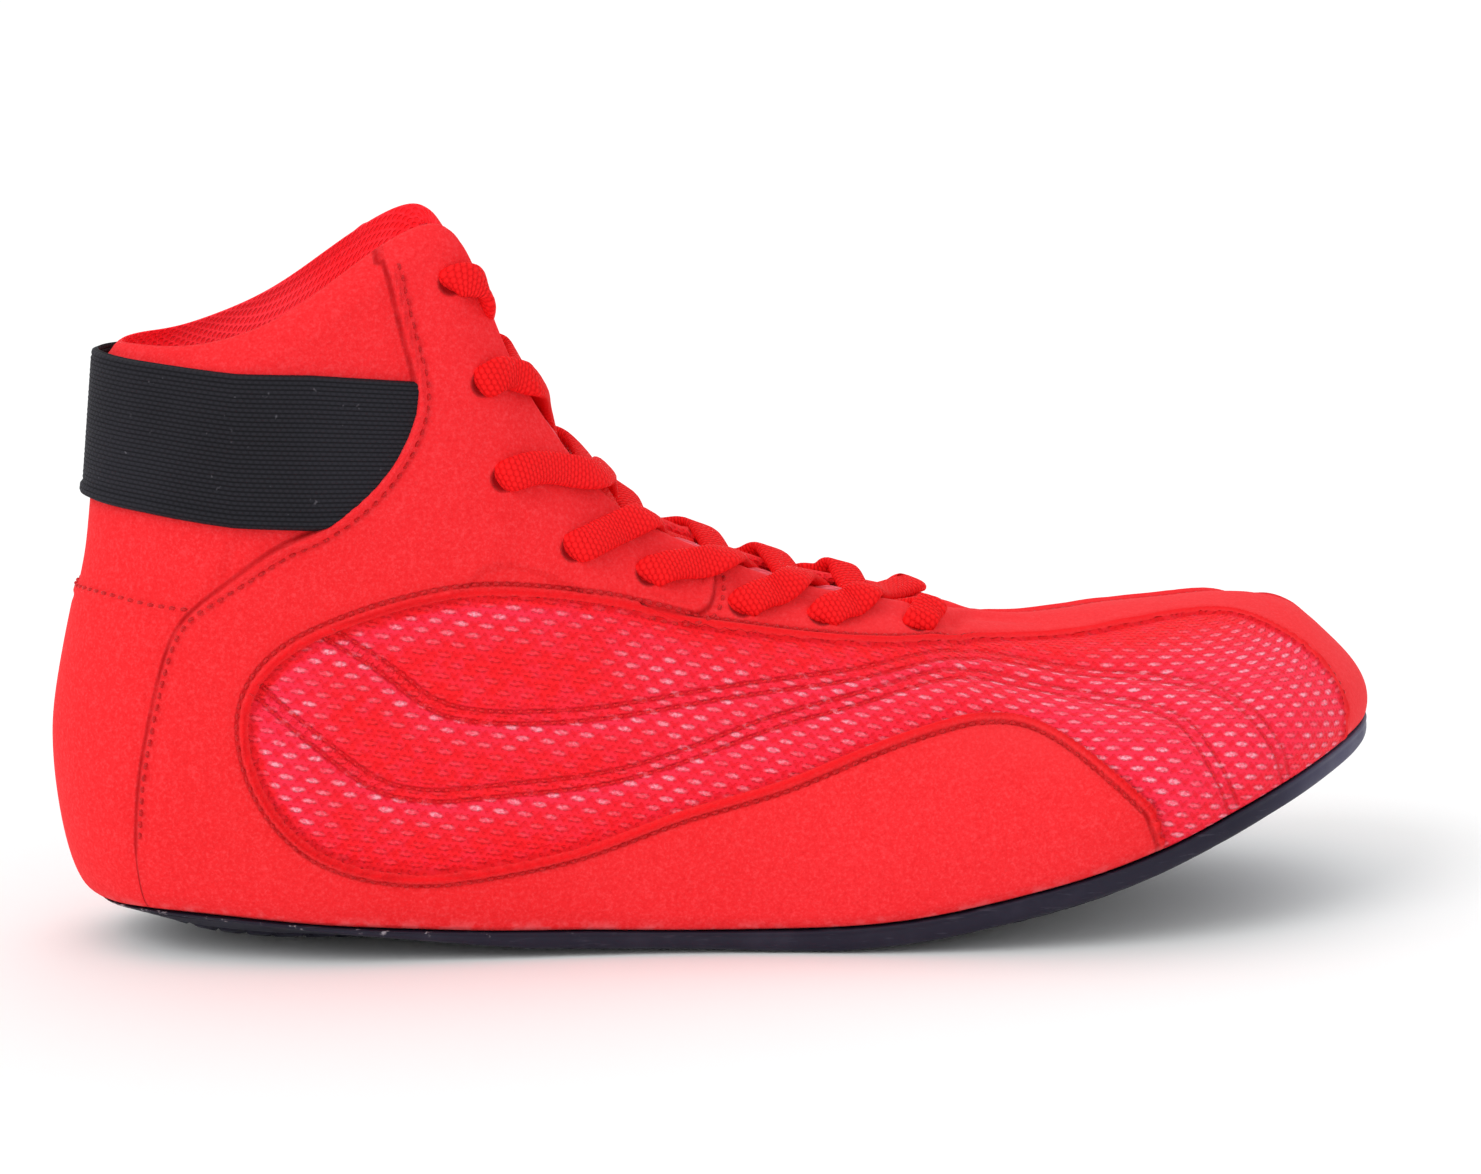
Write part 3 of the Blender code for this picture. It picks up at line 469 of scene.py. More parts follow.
def build(name, points, faces, mats, uv=None, face_mat=None, attributes=None, weld=None, flat=False):
    """A mesh from table millimetres. uv is per point, attributes are per point."""
    pts = place(points)
    faces = [tuple(f) for f in faces]
    corner_uv = None
    keep = np.arange(len(faces))
    if uv is not None:
        corner_uv = [uv[list(f)] for f in faces]
    if weld:
        key = np.round(pts / weld).astype(np.int64)
        _, first, back = np.unique(key, axis=0, return_index=True, return_inverse=True)
        back = back.reshape(-1)
        new_faces, new_uv, keep = [], [], []
        for n, f in enumerate(faces):
            g = [int(back[i]) for i in f]
            pick = [i for i in range(len(g)) if g[i] != g[i - 1]]
            if len(pick) < 3 or len(set(g[i] for i in pick)) < len(pick):
                continue
            new_faces.append(tuple(g[i] for i in pick))
            keep.append(n)
            if corner_uv is not None:
                new_uv.append(corner_uv[n][pick])
        faces, corner_uv = new_faces, (new_uv if corner_uv is not None else None)
        pts = pts[first]
        if attributes:
            attributes = {k: a[first] for k, a in attributes.items()}
        keep = np.array(keep)
    mesh = bpy.data.meshes.new(name)
    mesh.from_pydata(pts.tolist(), [], faces)
    for mat in mats:
        mesh.materials.append(mat)
    if face_mat is not None:
        mesh.polygons.foreach_set("material_index", np.asarray(face_mat, np.int32)[keep])
    if corner_uv is not None:
        layer = mesh.uv_layers.new(name="UVMap")
        layer.data.foreach_set("uv", np.concatenate(corner_uv).astype(np.float32).ravel())
    for key, values in (attributes or {}).items():
        attr = mesh.attributes.new(key, "FLOAT", "POINT")
        attr.data.foreach_set("value", np.asarray(values, np.float32))
    mesh.update()
    if not flat:
        mesh.shade_smooth()
    mesh.validate()
    obj = bpy.data.objects.new(name, mesh)
    bpy.context.scene.collection.objects.link(obj)
    return obj


def face_out(obj):
    """Turns every face of a closed piece outwards."""
    bm = bmesh.new()
    bm.from_mesh(obj.data)
    bmesh.ops.recalc_face_normals(bm, faces=bm.faces)
    bm.to_mesh(obj.data)
    bm.free()
    return obj


def quads(rows, cols, ring_rows=False, ring_cols=False, start=0):
    number = np.arange(rows * cols).reshape(rows, cols) + start
    a = number if ring_rows else number[:-1]
    b = np.roll(number, -1, axis=0) if ring_rows else number[1:]
    if not ring_cols:
        return np.stack([a[:, :-1], b[:, :-1], b[:, 1:], a[:, 1:]], axis=2).reshape(-1, 4)
    c, d = np.roll(a, -1, axis=1), np.roll(b, -1, axis=1)
    return np.stack([a, b, d, c], axis=2).reshape(-1, 4)


# ---- materials --------------------------------------------------------------
def linear(r, g, b):
    out = []
    for c in (r, g, b):
        c /= 255.0
        out.append(c / 12.92 if c <= 0.04045 else ((c + 0.055) / 1.055) ** 2.4)
    return (*out, 1.0)


class Shade:
    """A short way to wire a node material."""

    def __init__(self, name, rough=0.8, sheen=0.0, tint=(1, 1, 1, 1), specular=0.3, sheen_rough=0.5):
        self.mat = bpy.data.materials.new(name)
        self.mat.use_nodes = True
        self.tree = self.mat.node_tree
        self.shader = self.tree.nodes["Principled BSDF"]
        self.shader.inputs["Roughness"].default_value = rough
        self.shader.inputs["Specular IOR Level"].default_value = specular
        self.shader.inputs["Sheen Weight"].default_value = sheen
        self.shader.inputs["Sheen Roughness"].default_value = sheen_rough
        self.shader.inputs["Sheen Tint"].default_value = tint
        self.coords = None

    def node(self, kind, **settings):
        n = self.tree.nodes.new(kind)
        for key, value in settings.items():
            if hasattr(n, key):
                setattr(n, key, value)
            else:
                self.link(value, n.inputs[key.replace("_", " ")])
        return n

    def link(self, value, socket):
        if isinstance(value, bpy.types.NodeSocket):
            self.tree.links.new(value, socket)
        else:
            socket.default_value = value

    def attr(self, name):
        return self.node("ShaderNodeAttribute", attribute_name=name).outputs["Fac"]

    def uv(self):
        return self.node("ShaderNodeUVMap", uv_map="UVMap").outputs["UV"]

    def here(self):
        return self.node("ShaderNodeTexCoord").outputs["Object"]

    def math(self, op, a, b=0.0, c=None):
        n = self.node("ShaderNodeMath", operation=op)
        self.link(a, n.inputs[0])
        self.link(b, n.inputs[1])
        if c is not None:
            self.link(c, n.inputs[2])
        return n.outputs[0]

    def ramp(self, value, low, high, to_low=0.0, to_high=1.0, soft=True):
        n = self.node("ShaderNodeMapRange", interpolation_type="SMOOTHSTEP" if soft else "LINEAR")
        self.link(value, n.inputs[0])
        for i, x in enumerate((low, high, to_low, to_high)):
            n.inputs[i + 1].default_value = x
        return n.outputs[0]

    def bump_bell(self, value, middle, width):
        """1 at middle, falling to 0 a width away."""
        off = self.math("ABSOLUTE", self.math("SUBTRACT", value, middle))
        return self.ramp(off, 0.0, width, 1.0, 0.0)

    def noise(self, scale, detail=3.0, rough=0.5, where=None, stretch=None):
        where = where or self.here()
        if stretch:
            m = self.node("ShaderNodeMapping")
            self.link(where, m.inputs["Vector"])
            m.inputs["Scale"].default_value = stretch
            where = m.outputs[0]
        n = self.node("ShaderNodeTexNoise")
        self.link(where, n.inputs["Vector"])
        n.inputs["Scale"].default_value = scale
        n.inputs["Detail"].default_value = detail
        n.inputs["Roughness"].default_value = rough
        return n.outputs["Fac"]

    def mix(self, factor, a, b):
        n = self.node("ShaderNodeMix", data_type="RGBA")
        self.link(factor, n.inputs[0])
        self.link(a, n.inputs[6])
        self.link(b, n.inputs[7])
        return n.outputs[2]

    def xy(self, vector):
        n = self.node("ShaderNodeSeparateXYZ")
        self.link(vector, n.inputs[0])
        return n.outputs[0], n.outputs[1]

    def turned(self, angle, scale=(1, 1, 1), where=None, shift=(0, 0, 0)):
        m = self.node("ShaderNodeMapping")
        self.link(where or self.uv(), m.inputs["Vector"])
        m.inputs["Rotation"].default_value = (0, 0, angle)
        m.inputs["Scale"].default_value = scale
        m.inputs["Location"].default_value = shift
        return m.outputs[0]

    def bricks(self, where, pitch, row, long, tall, soft=0.35):
        """Short dashes in staggered rows; where is in millimetres. Returns 0..1."""
        x, y = self.xy(where)
        line = self.math("DIVIDE", y, row)
        number = self.math("FLOOR", line)
        odd = self.math("MULTIPLY", self.math("FLOORED_MODULO", number, 2.0), 0.5)
        along = self.math("ADD", self.math("DIVIDE", x, pitch), odd)
        fx = self.math("ABSOLUTE", self.math("SUBTRACT", self.math("FRACT", along), 0.5))
        fy = self.math("ABSOLUTE", self.math("SUBTRACT", self.math("FRACT", line), 0.5))
        gx = self.math("DIVIDE", self.math("MULTIPLY", fx, pitch), long / 2)
        gy = self.math("DIVIDE", self.math("MULTIPLY", fy, row), tall / 2)
        far = self.math("SQRT", self.math("ADD", self.math("MULTIPLY", gx, gx), self.math("MULTIPLY", gy, gy)))
        return self.ramp(far, 1.0 - soft, 1.0 + soft, 1.0, 0.0)

    def cell(self, where):
        n = self.node("ShaderNodeTexWhiteNoise", noise_dimensions="2D")
        self.link(where, n.inputs["Vector"])
        return n.outputs["Value"]

    def bump(self, height, strength=0.5, distance=0.001, after=None):
        n = self.node("ShaderNodeBump")
        n.inputs["Strength"].default_value = strength
        n.inputs["Distance"].default_value = distance
        self.link(height, n.inputs["Height"])
        if after is not None:
            self.link(after, n.inputs["Normal"])
        return n.outputs[0]

    def done(self, colour, normal=None, rough=None):
        self.link(colour, self.shader.inputs["Base Color"])
        if normal is not None:
            self.link(normal, self.shader.inputs["Normal"])
        if rough is not None:
            self.link(rough, self.shader.inputs["Roughness"])
        return self.mat


MM = 100.0      # one unit of the UV map is 100 mm


def in_mm(s, angle=0.0):
    """The UV map in millimetres, turned by an angle."""
    return s.turned(angle, scale=(MM, MM, MM))


def nap_height(s):
    fine = s.noise(1500.0, 2.0, 0.6)
    fibre = s.noise(720.0, 3.0, 0.6)
    cloud = s.noise(60.0, 3.0, 0.5)
    a = s.math("MULTIPLY", fine, 0.45)
    b = s.math("MULTIPLY_ADD", fibre, 0.8, a)
    return s.math("MULTIPLY_ADD", cloud, 0.2, b)


def upper_material():
    s = Shade("red_suede_and_mesh", rough=0.86, sheen=0.14, tint=linear(255, 120, 124), specular=0.12)
    panel = s.attr("panel")
    chan = s.attr("chan")
    glow = s.attr("glow")
    quarter = s.attr("quarter")
    eye = s.attr("eye")
    foot = s.attr("foot")
    painted_top_light = s.attr("painted_top_light")
    # suede
    cloud = s.noise(22.0, 4.0, 0.6)
    patch = s.noise(7.0, 2.0, 0.5)
    speck = s.noise(1500.0, 2.0, 0.7)
    grain = s.noise(820.0, 2.0, 0.6)
    suede = s.mix(s.ramp(cloud, 0.30, 0.72), linear(239, 37, 42), linear(242, 41, 47))
    suede = s.mix(s.ramp(patch, 0.35, 0.7, 0.0, 0.4), suede, linear(244, 46, 53))
    suede = s.mix(s.ramp(speck, 0.45, 0.75, 0.0, 0.34), suede, linear(253, 84, 90))
    suede = s.mix(s.ramp(speck, 0.44, 0.28, 0.0, 0.34), suede, linear(222, 20, 28))
    suede = s.mix(s.ramp(grain, 0.52, 0.74, 0.0, 0.30), suede, linear(252, 76, 82))
    suede = s.mix(s.ramp(grain, 0.45, 0.28, 0.0, 0.30), suede, linear(228, 24, 32))
    # painted light: faces that turn upwards, and the top of the toe, are lighter, as if lit from above
    suede = s.mix(s.math("MULTIPLY", painted_top_light, 0.40), suede, linear(243, 62, 68))
    # painted shade: darker in the grooves where two layers meet, at the foot of the quarter's and vamp's edges and
    # outside the mesh panel's lip
    seam = s.bump_bell(quarter, -0.30, 0.8)
    rim = s.bump_bell(panel, 2.35, 0.75)
    edge = s.math("MAXIMUM", seam, rim)
    edge = s.math("MULTIPLY", edge, s.ramp(s.noise(180.0, 2.0), 0.3, 0.7, 0.55, 1.0))
    suede = s.mix(s.math("MULTIPLY", edge, 0.85), suede, linear(168, 2, 8))
    lip = s.bump_bell(panel, 0.8, 1.15)
    suede = s.mix(s.math("MULTIPLY", lip, 0.75), suede, linear(240, 15, 24))
    dusty = s.math("MULTIPLY", s.ramp(foot, 3.2, 0.4), s.ramp(s.noise(260.0, 3.0, 0.6), 0.45, 0.66))
    suede = s.mix(s.math("MULTIPLY", dusty, 0.28), suede, linear(250, 140, 146))
    # painted shade: the eyelets are only shallow dimples, and their middles are painted dark as the shade inside a hole
    hole = s.ramp(eye, 2.1, 3.1, 1.0, 0.0)
    suede = s.mix(hole, suede, linear(150, 2, 8))
    # air mesh: rows of paired light yarns over small dark openings
    where = in_mm(s, math.radians(8.5))
    wob = s.node("ShaderNodeVectorMath", operation="MULTIPLY_ADD")
    jit = s.node("ShaderNodeTexNoise")
    s.link(where, jit.inputs["Vector"])
    jit.inputs["Scale"].default_value = 0.35
    s.link(jit.outputs["Color"], wob.inputs[0])
    wob.inputs[1].default_value = (0.7, 0.5, 0)
    s.link(where, wob.inputs[2])
    grid = wob.outputs[0]
    dash = s.bricks(grid, 5.2, 2.2, 2.7, 1.06, 0.40)
    moved = s.node("ShaderNodeVectorMath", operation="ADD")
    s.link(grid, moved.inputs[0])
    moved.inputs[1].default_value = (2.55, 0.0, 0)
    dark = s.bricks(moved.outputs[0], 5.2, 2.2, 1.6, 0.9, 0.5)
    small = s.node("ShaderNodeVectorMath", operation="ADD")
    s.link(grid, small.inputs[0])
    small.inputs[1].default_value = (0.3, 1.1, 0)
    pin = s.bricks(small.outputs[0], 1.46, 1.1, 0.7, 0.55, 0.5)
    beads = s.noise(1500.0, 1.0, 0.5)
    some = s.ramp(s.noise(150.0, 2.0, 0.5), 0.34, 0.62, 0.25, 1.0)
    base = s.mix(s.ramp(glow, 0.0, 1.0), linear(253, 28, 38), linear(255, 44, 74))
    base = s.mix(s.math("MULTIPLY", s.ramp(s.noise(300.0, 3.0, 0.6), 0.4, 0.68), 0.45), base, linear(252, 50, 78))
    base = s.mix(s.math("MULTIPLY", pin, s.ramp(glow, 0.0, 1.0, 0.40, 0.30)), base, linear(232, 4, 16))
    base = s.mix(s.math("MULTIPLY", dark, s.ramp(glow, 0.0, 1.0, 0.45, 0.55)), base, linear(226, 5, 18))
    bright = s.math("MULTIPLY", s.math("MULTIPLY", dash, some), s.ramp(glow, 0.05, 0.8, 0.05, 0.90))
    base = s.mix(bright, base, s.mix(s.ramp(beads, 0.4, 0.6), linear(255, 118, 140), linear(255, 172, 188)))
    # painted shade: darker along the bottoms of the quilted grooves, where the channel stitches sink in
    groove = s.bump_bell(chan, 1.25, 0.75)
    base = s.mix(s.math("MULTIPLY", s.math("MULTIPLY", groove, s.attr("quilt")), 0.62), base, linear(206, 4, 16))
    # painted shade: the mesh is darker just inside its edge, in the hollow beside the raised lip
    near = s.ramp(panel, -1.6, -0.1)
    base = s.mix(s.math("MULTIPLY", near, 0.6), base, linear(216, 5, 16))
    is_mesh = s.ramp(panel, -0.12, 0.12, 1.0, 0.0)
    colour = s.mix(is_mesh, suede, base)
    # relief
    net = s.math("MULTIPLY_ADD", dash, 1.0, s.math("MULTIPLY", s.math("ADD", s.math("MULTIPLY", dark, 0.8), pin), -0.6))
    net = s.math("MULTIPLY_ADD", s.math("MULTIPLY", groove, s.attr("quilt")), -1.6, net)
    n1 = s.bump(s.math("MULTIPLY", net, is_mesh), 0.9, 0.00035)
    nap = s.math("MULTIPLY", nap_height(s), s.math("SUBTRACT", 1.0, s.math("MULTIPLY", is_mesh, 0.75)))
    n2 = s.bump(nap, 0.75, 0.0003, n1)
    cut = s.math("ADD", s.math("MULTIPLY", seam, -1.0), s.math("MULTIPLY", rim, -1.0))
    n3 = s.bump(s.math("MULTIPLY_ADD", hole, -2.0, cut), 0.8, 0.0004, n2)
    return s.done(colour, n3, s.ramp(is_mesh, 0.0, 1.0, 0.9, 0.62, soft=False))


def knit_material(name, deep, mid, high, pitch=2.3, row=1.5, angle=0.0, sheen=0.15, through=0.0):
    """Air mesh with an open diamond knit."""
    s = Shade(name, rough=0.8, sheen=sheen, tint=linear(255, 160, 160), specular=0.2)
    where = in_mm(s, angle)
    holes = s.bricks(where, pitch, row, pitch * 0.62, row * 0.78, 0.45)
    cloud = s.ramp(s.noise(30.0, 3.0), 0.35, 0.7)
    yarn = s.noise(800.0, 2.0, 0.6)
    base = s.mix(cloud, mid, high)
    base = s.mix(s.ramp(yarn, 0.45, 0.75, 0.0, 0.4), base, high)
    base = s.mix(s.math("MULTIPLY", holes, 0.62), base, deep)
    h = s.math("MULTIPLY_ADD", holes, -1.0, s.math("MULTIPLY", yarn, 0.3))
    if through:
        # painted light: the lining glows (emission) above the strap, as a stand-in for daylight through the cloth
        z = s.node("ShaderNodeSeparateXYZ")
        s.link(s.here(), z.inputs[0])
        s.link(base, s.shader.inputs["Emission Color"])
        s.link(s.ramp(z.outputs[2], 0.095, 0.132, 0.0, through), s.shader.inputs["Emission Strength"])
    return s.done(base, s.bump(h, 0.9, 0.0004))


def lace_material():
    s = Shade("red_lace_weave", rough=0.7, sheen=0.02, tint=linear(255, 120, 120), specular=0.1)
    where = in_mm(s)
    x, y = s.xy(where)
    swap = s.node("ShaderNodeCombineXYZ")
    s.link(y, swap.inputs[0])
    s.link(x, swap.inputs[1])
    knit = s.bricks(swap.outputs[0], 1.35, 0.85, 1.2, 0.74, 0.6)
    gutter = s.ramp(knit, 0.0, 0.25, 1.0, 0.0)
    base = s.mix(s.ramp(s.noise(40.0, 3.0), 0.35, 0.7), linear(252, 14, 20), linear(255, 20, 27))
    base = s.mix(s.math("MULTIPLY", s.math("SUBTRACT", 1.0, knit), 0.34), base, linear(216, 2, 8))
    base = s.mix(s.math("MULTIPLY", knit, 0.16), base, linear(255, 60, 58))
    h = s.math("SUBTRACT", knit, s.math("MULTIPLY", gutter, 0.4))
    return s.done(base, s.bump(h, 0.9, 0.0003))


def elastic_material():
    s = Shade("black_elastic_weave", rough=0.75, sheen=0.03, tint=linear(150, 150, 170), specular=0.15)
    where = in_mm(s)
    x, y = s.xy(where)
    rib = s.math("ABSOLUTE", s.math("SUBTRACT", s.math("FRACT", s.math("DIVIDE", y, 0.92)), 0.5))
    valley = s.ramp(rib, 0.30, 0.5)
    knot = s.bricks(where, 1.3, 0.92, 0.9, 0.6, 0.5)
    base = s.mix(s.ramp(s.noise(25.0, 3.0), 0.35, 0.7), linear(26, 25, 30), linear(33, 32, 38))
    base = s.mix(s.math("MULTIPLY", knot, 0.30), base, linear(52, 51, 59))
    base = s.mix(s.math("MULTIPLY", valley, 0.7), base, linear(12, 11, 15))
    lint = s.ramp(s.noise(420.0, 2.0, 0.7), 0.70, 0.80)
    base = s.mix(s.math("MULTIPLY", lint, 0.5), base, linear(120, 116, 124))
    h = s.math("MULTIPLY_ADD", valley, -1.0, s.math("MULTIPLY", knot, 0.35))
    return s.done(base, s.bump(h, 0.8, 0.00025))


def rubber_material():
    s = Shade("black_rubber_sole", rough=0.55, specular=0.22)
    toe = s.attr("toe")
    lipline = s.attr("lip")
    base = s.mix(s.ramp(toe, 0.0, 1.0), linear(29, 26, 43), linear(74, 71, 97))
    base = s.mix(s.ramp(s.noise(90.0, 4.0, 0.6), 0.46, 0.78, 0.0, 0.3), base, linear(58, 54, 70))
    scuff = s.math("MULTIPLY", s.ramp(s.noise(500.0, 3.0, 0.7, stretch=(0.25, 0.25, 2.0)), 0.58, 0.72), 0.5)
    base = s.mix(s.math("MULTIPLY", scuff, 0.5), base, linear(84, 82, 96))
    glue = s.math("MULTIPLY", s.ramp(lipline, 1.3, 0.1), s.ramp(s.noise(340.0, 3.0, 0.7), 0.58, 0.66))
    heel = s.math("MULTIPLY", glue, s.attr("back"))
    base = s.mix(s.math("MULTIPLY", heel, 0.75), base, linear(196, 190, 196))
    grain = s.math("MULTIPLY_ADD", s.noise(1100.0, 2.0, 0.6), 0.6, s.math("MULTIPLY", s.noise(140.0, 3.0), 0.6))
    rough = s.ramp(s.noise(70.0, 3.0), 0.35, 0.7, 0.42, 0.62)
    return s.done(base, s.bump(grain, 0.4, 0.00015), rough)


def cloth_material(name, low, high, scale=0.8, rough=0.85):
    """Plain close weave."""
    s = Shade(name, rough=rough, sheen=0.15, tint=linear(255, 170, 170), specular=0.2)
    where = in_mm(s)
    weave = s.bricks(where, scale * 2, scale, scale * 1.6, scale * 0.8, 0.4)
    base = s.mix(s.ramp(s.noise(40.0, 3.0), 0.35, 0.7), low, high)
    base = s.mix(s.math("MULTIPLY", weave, 0.3), base, high)
    return s.done(base, s.bump(weave, 0.6, 0.0002))


def thread_material(name, colour, lighter):
    s = Shade(name, rough=0.6, specular=0.3, sheen=0.1)
    ply = s.noise(2500.0, 1.0, 0.5)
    base = s.mix(s.ramp(ply, 0.4, 0.62), colour, lighter)
    return s.done(base, s.bump(ply, 0.5, 0.0001))


def ribbon_material():
    """Narrow ribbon: black with two red lines along it."""
    s = Shade("striped_ribbon_weave", rough=0.55, specular=0.3, sheen=0.1)
    where = in_mm(s)
    x, y = s.xy(where)
    line = s.math("ABSOLUTE", s.math("SUBTRACT", s.math("ABSOLUTE", y), 1.15))
    red = s.ramp(line, 0.35, 0.60, 1.0, 0.0)
    base = s.mix(red, linear(26, 23, 28), linear(214, 26, 34))
    rib = s.math("ABSOLUTE", s.math("SUBTRACT", s.math("FRACT", s.math("DIVIDE", x, 0.55)), 0.5))
    base = s.mix(s.math("MULTIPLY", s.ramp(rib, 0.3, 0.5), 0.35), base, linear(8, 6, 8))
    return s.done(base, s.bump(s.ramp(rib, 0.1, 0.45), 0.7, 0.0002))


# ---- lines on the upper -----------------------------------------------------
# Places (row, up) along each seam of the outer side; the inner side is its mirror.
QUARTER_EDGE = ((4.26, 1.08), (4.33, 1.0), (4.43, 0.930), (4.60, 0.830), (4.67, 0.780), (4.53, 0.720),
                (4.27, 0.680), (3.87, 0.652), (3.43, 0.640), (3.02, 0.634), (2.72, 0.612), (2.38, 0.572),
                (2.06, 0.520), (1.90, 0.450), (1.77, 0.340), (1.67, 0.245), (1.58, 0.130), (1.56, -0.02))
FRONT_EDGE = ((9.96, 1.03), (9.93, 0.955), (9.84, 0.875), (9.68, 0.815), (9.30, 0.778), (8.9, 0.764))
MESH_RING = ((15.98, -0.03), (15.77, 0.140), (15.30, 0.270), (14.80, 0.410), (14.20, 0.500), (13.27, 0.553),
             (12.40, 0.553), (11.43, 0.500), (10.17, 0.390), (8.67, 0.275), (7.20, 0.160), (5.67, 0.100),
             (4.67, 0.086), (3.90, 0.100), (3.37, 0.130), (2.94, 0.195), (2.72, 0.290), (2.73, 0.385), (2.97, 0.442),
             (3.53, 0.470), (4.47, 0.475), (5.43, 0.485), (6.90, 0.575), (8.60, 0.725), (9.43, 0.758), (10.20, 0.785),
             (11.20, 0.815), (12.37, 0.830), (14.23, 0.820), (15.60, 0.825), (16.73, 0.833), (17.90, 0.805),
             (18.80, 0.670), (19.25, 0.440), (19.33, 0.225), (19.27, 0.110), (19.2, -0.03))
CHANNEL_A = ((3.50, 0.478), (3.97, 0.425), (4.37, 0.375), (4.70, 0.335), (5.17, 0.315), (6.23, 0.335), (7.47, 0.415),
             (9.00, 0.545), (10.43, 0.655), (11.67, 0.728), (14.00, 0.738), (15.10, 0.675),
             (16.53, 0.520), (17.10, 0.400), (17.43, 0.240), (17.73, 0.065), (17.8, -0.03))
CHANNEL_B = ((2.72, 0.412), (3.20, 0.330), (3.67, 0.270), (4.10, 0.225), (4.67, 0.200), (5.70, 0.210), (7.30, 0.280),
             (8.80, 0.400), (10.33, 0.555), (11.57, 0.650), (13.6, 0.676), (14.70, 0.610),
             (15.53, 0.520), (16.33, 0.360), (16.60, 0.200), (16.87, 0.040), (16.92, -0.03))
HEEL_SEAM = ((0.0, 0.574), (0.93, 0.572), (1.63, 0.558), (2.50, 0.540))


NET_W = np.linspace(0, ROWS - 1, 221)
NET_V = np.linspace(0, 1, 81)
NET = surface(NET_W, NET_V)
NET[:, :, 2] += GAP + 0.1
SEAMS = {}


def face_tangents(w, v):
    e = 0.012
    low, high = np.clip(v - e, 0, 1), np.clip(v + e, 0, 1)
    w0, w1 = np.clip(w - e, 0, ROWS - 1), np.clip(w + e, 0, ROWS - 1)
    tw = (on_face(w1, v) - on_face(w0, v)) / (w1 - w0)[:, None]
    tv = (on_face(w, high) - on_face(w, low)) / (high - low)[:, None]
    return tw, tv


def found(points):
    """The places (row, up) on the outer side nearest to points."""
    flat = NET.reshape(-1, 3)
    near = np.array([((flat - p) ** 2).sum(1).argmin() for p in points])
    w, v = NET_W[near // len(NET_V)].copy(), NET_V[near % len(NET_V)].copy()
    for _ in range(3):
        p = on_face(w, v)
        tw, tv = face_tangents(w, v)
        gap = points - p
        a, b, c = (tw * tw).sum(1), (tw * tv).sum(1), (tv * tv).sum(1)
        d, f = (tw * gap).sum(1), (tv * gap).sum(1)
        det = np.maximum(a * c - b * b, 1e-9)
        w = np.clip(w + np.clip((d * c - f * b) / det, -0.1, 0.1), 0, ROWS - 1)
        v = np.clip(v + np.clip((a * f - b * d) / det, -0.02, 0.02), 0, 1)
    return np.stack([w, v], axis=1)


def dense(table, count=160):
    """A seam's places (row, up), close together, smooth in space."""
    if table not in SEAMS:
        p = np.asarray(table, float)
        inner = (p[:, 1] >= 0) & (p[:, 1] <= 1)
        line = spline(on_face(p[inner, 0], p[inner, 1]), 260 if len(p) > 24 else 140)
        places = found(line)
        if not inner[0]:
            places = np.concatenate([p[:1], places])
        if not inner[-1]:
            places = np.concatenate([places, p[-1:]])
        SEAMS[table] = places
    return SEAMS[table]


def line_on(table, count, mirror=False):
    """A seam as points on the plain face, with its (row, up) places."""
    places = dense(table)
    w, v = places[:, 0], np.clip(places[:, 1], 0, 1)
    pts = on_face(LOOP - w if mirror else w, v)
    run = np.concatenate([[0], np.cumsum(np.linalg.norm(np.diff(pts, axis=0), axis=1))])
    even = np.linspace(0, run[-1], count)
    return np.stack([np.interp(even, run, pts[:, k]) for k in range(3)], axis=1), places


# ---- the upper --------------------------------------------------------------
HALF = 320
UPS = 132


def even_rows():
    w = np.linspace(0, ROWS - 1, 1200)
    p = on_face(w, np.full(len(w), 0.5))
    run = np.concatenate([[0], np.cumsum(np.linalg.norm(np.diff(p, axis=0), axis=1) + 0.05)])
    rows = np.interp(np.linspace(0, run[-1], HALF + 1), run, w)
    rows[np.argmin(abs(rows - 14.0))] = 14.0
    return rows


HALF_ROWS = even_rows()
ROWS_ROUND = np.concatenate([HALF_ROWS, LOOP - HALF_ROWS[-2:0:-1]])
UP = np.linspace(0, 1, UPS)
BASE = surface(ROWS_ROUND, UP)
BASE[:, :, 2] += GAP + 0.1


def ridge_column():
    return (ROWS_ROUND >= 14.0 - 1e-9) & (ROWS_ROUND <= LOOP - 14.0 + 1e-9)


def normals_of(grid):
    n = len(grid)
    tw = np.roll(grid, -1, axis=0) - np.roll(grid, 1, axis=0)
    tv = np.gradient(grid, axis=1)
    out = unit(np.cross(tw, tv))
    ridge = np.flatnonzero(ridge_column())
    mirror = (n - ridge) % n
    out[ridge, -1] = unit(out[ridge, -1] + out[mirror, -1])
    return out


FACE = normals_of(BASE)
CALM = smooth(18.5, 20.5, np.where(ROWS_ROUND > ROWS - 1, LOOP - ROWS_ROUND, ROWS_ROUND))[:, None] * smooth(0.72, 0.96, UP)[None, :]
FACE = unit(FACE * (1 - CALM[:, :, None]) + np.array([0.12, 0.0, 0.99]) * CALM[:, :, None])
SIDE_ROW = np.where(ROWS_ROUND > ROWS - 1, LOOP - ROWS_ROUND, ROWS_ROUND)
W2 = np.broadcast_to(SIDE_ROW[:, None], BASE.shape[:2])
V2 = np.broadcast_to(UP[None, :], BASE.shape[:2])
LATERAL = ROWS_ROUND <= ROWS - 1


def signed(table_line, region, count=500):
    """Distance to a seam, below zero inside the region (a closed outline)."""
    out = np.empty(BASE.shape[:2])
    hit = inside(np.asarray(region, float), W2, V2)
    for side in (False, True):
        rows = ~LATERAL if side else LATERAL
        line, _ = line_on(table_line, count, side)
        out[rows] = gap_to(BASE[rows].reshape(-1, 3), line).reshape(rows.sum(), -1)
    return np.where(hit, -out, out)


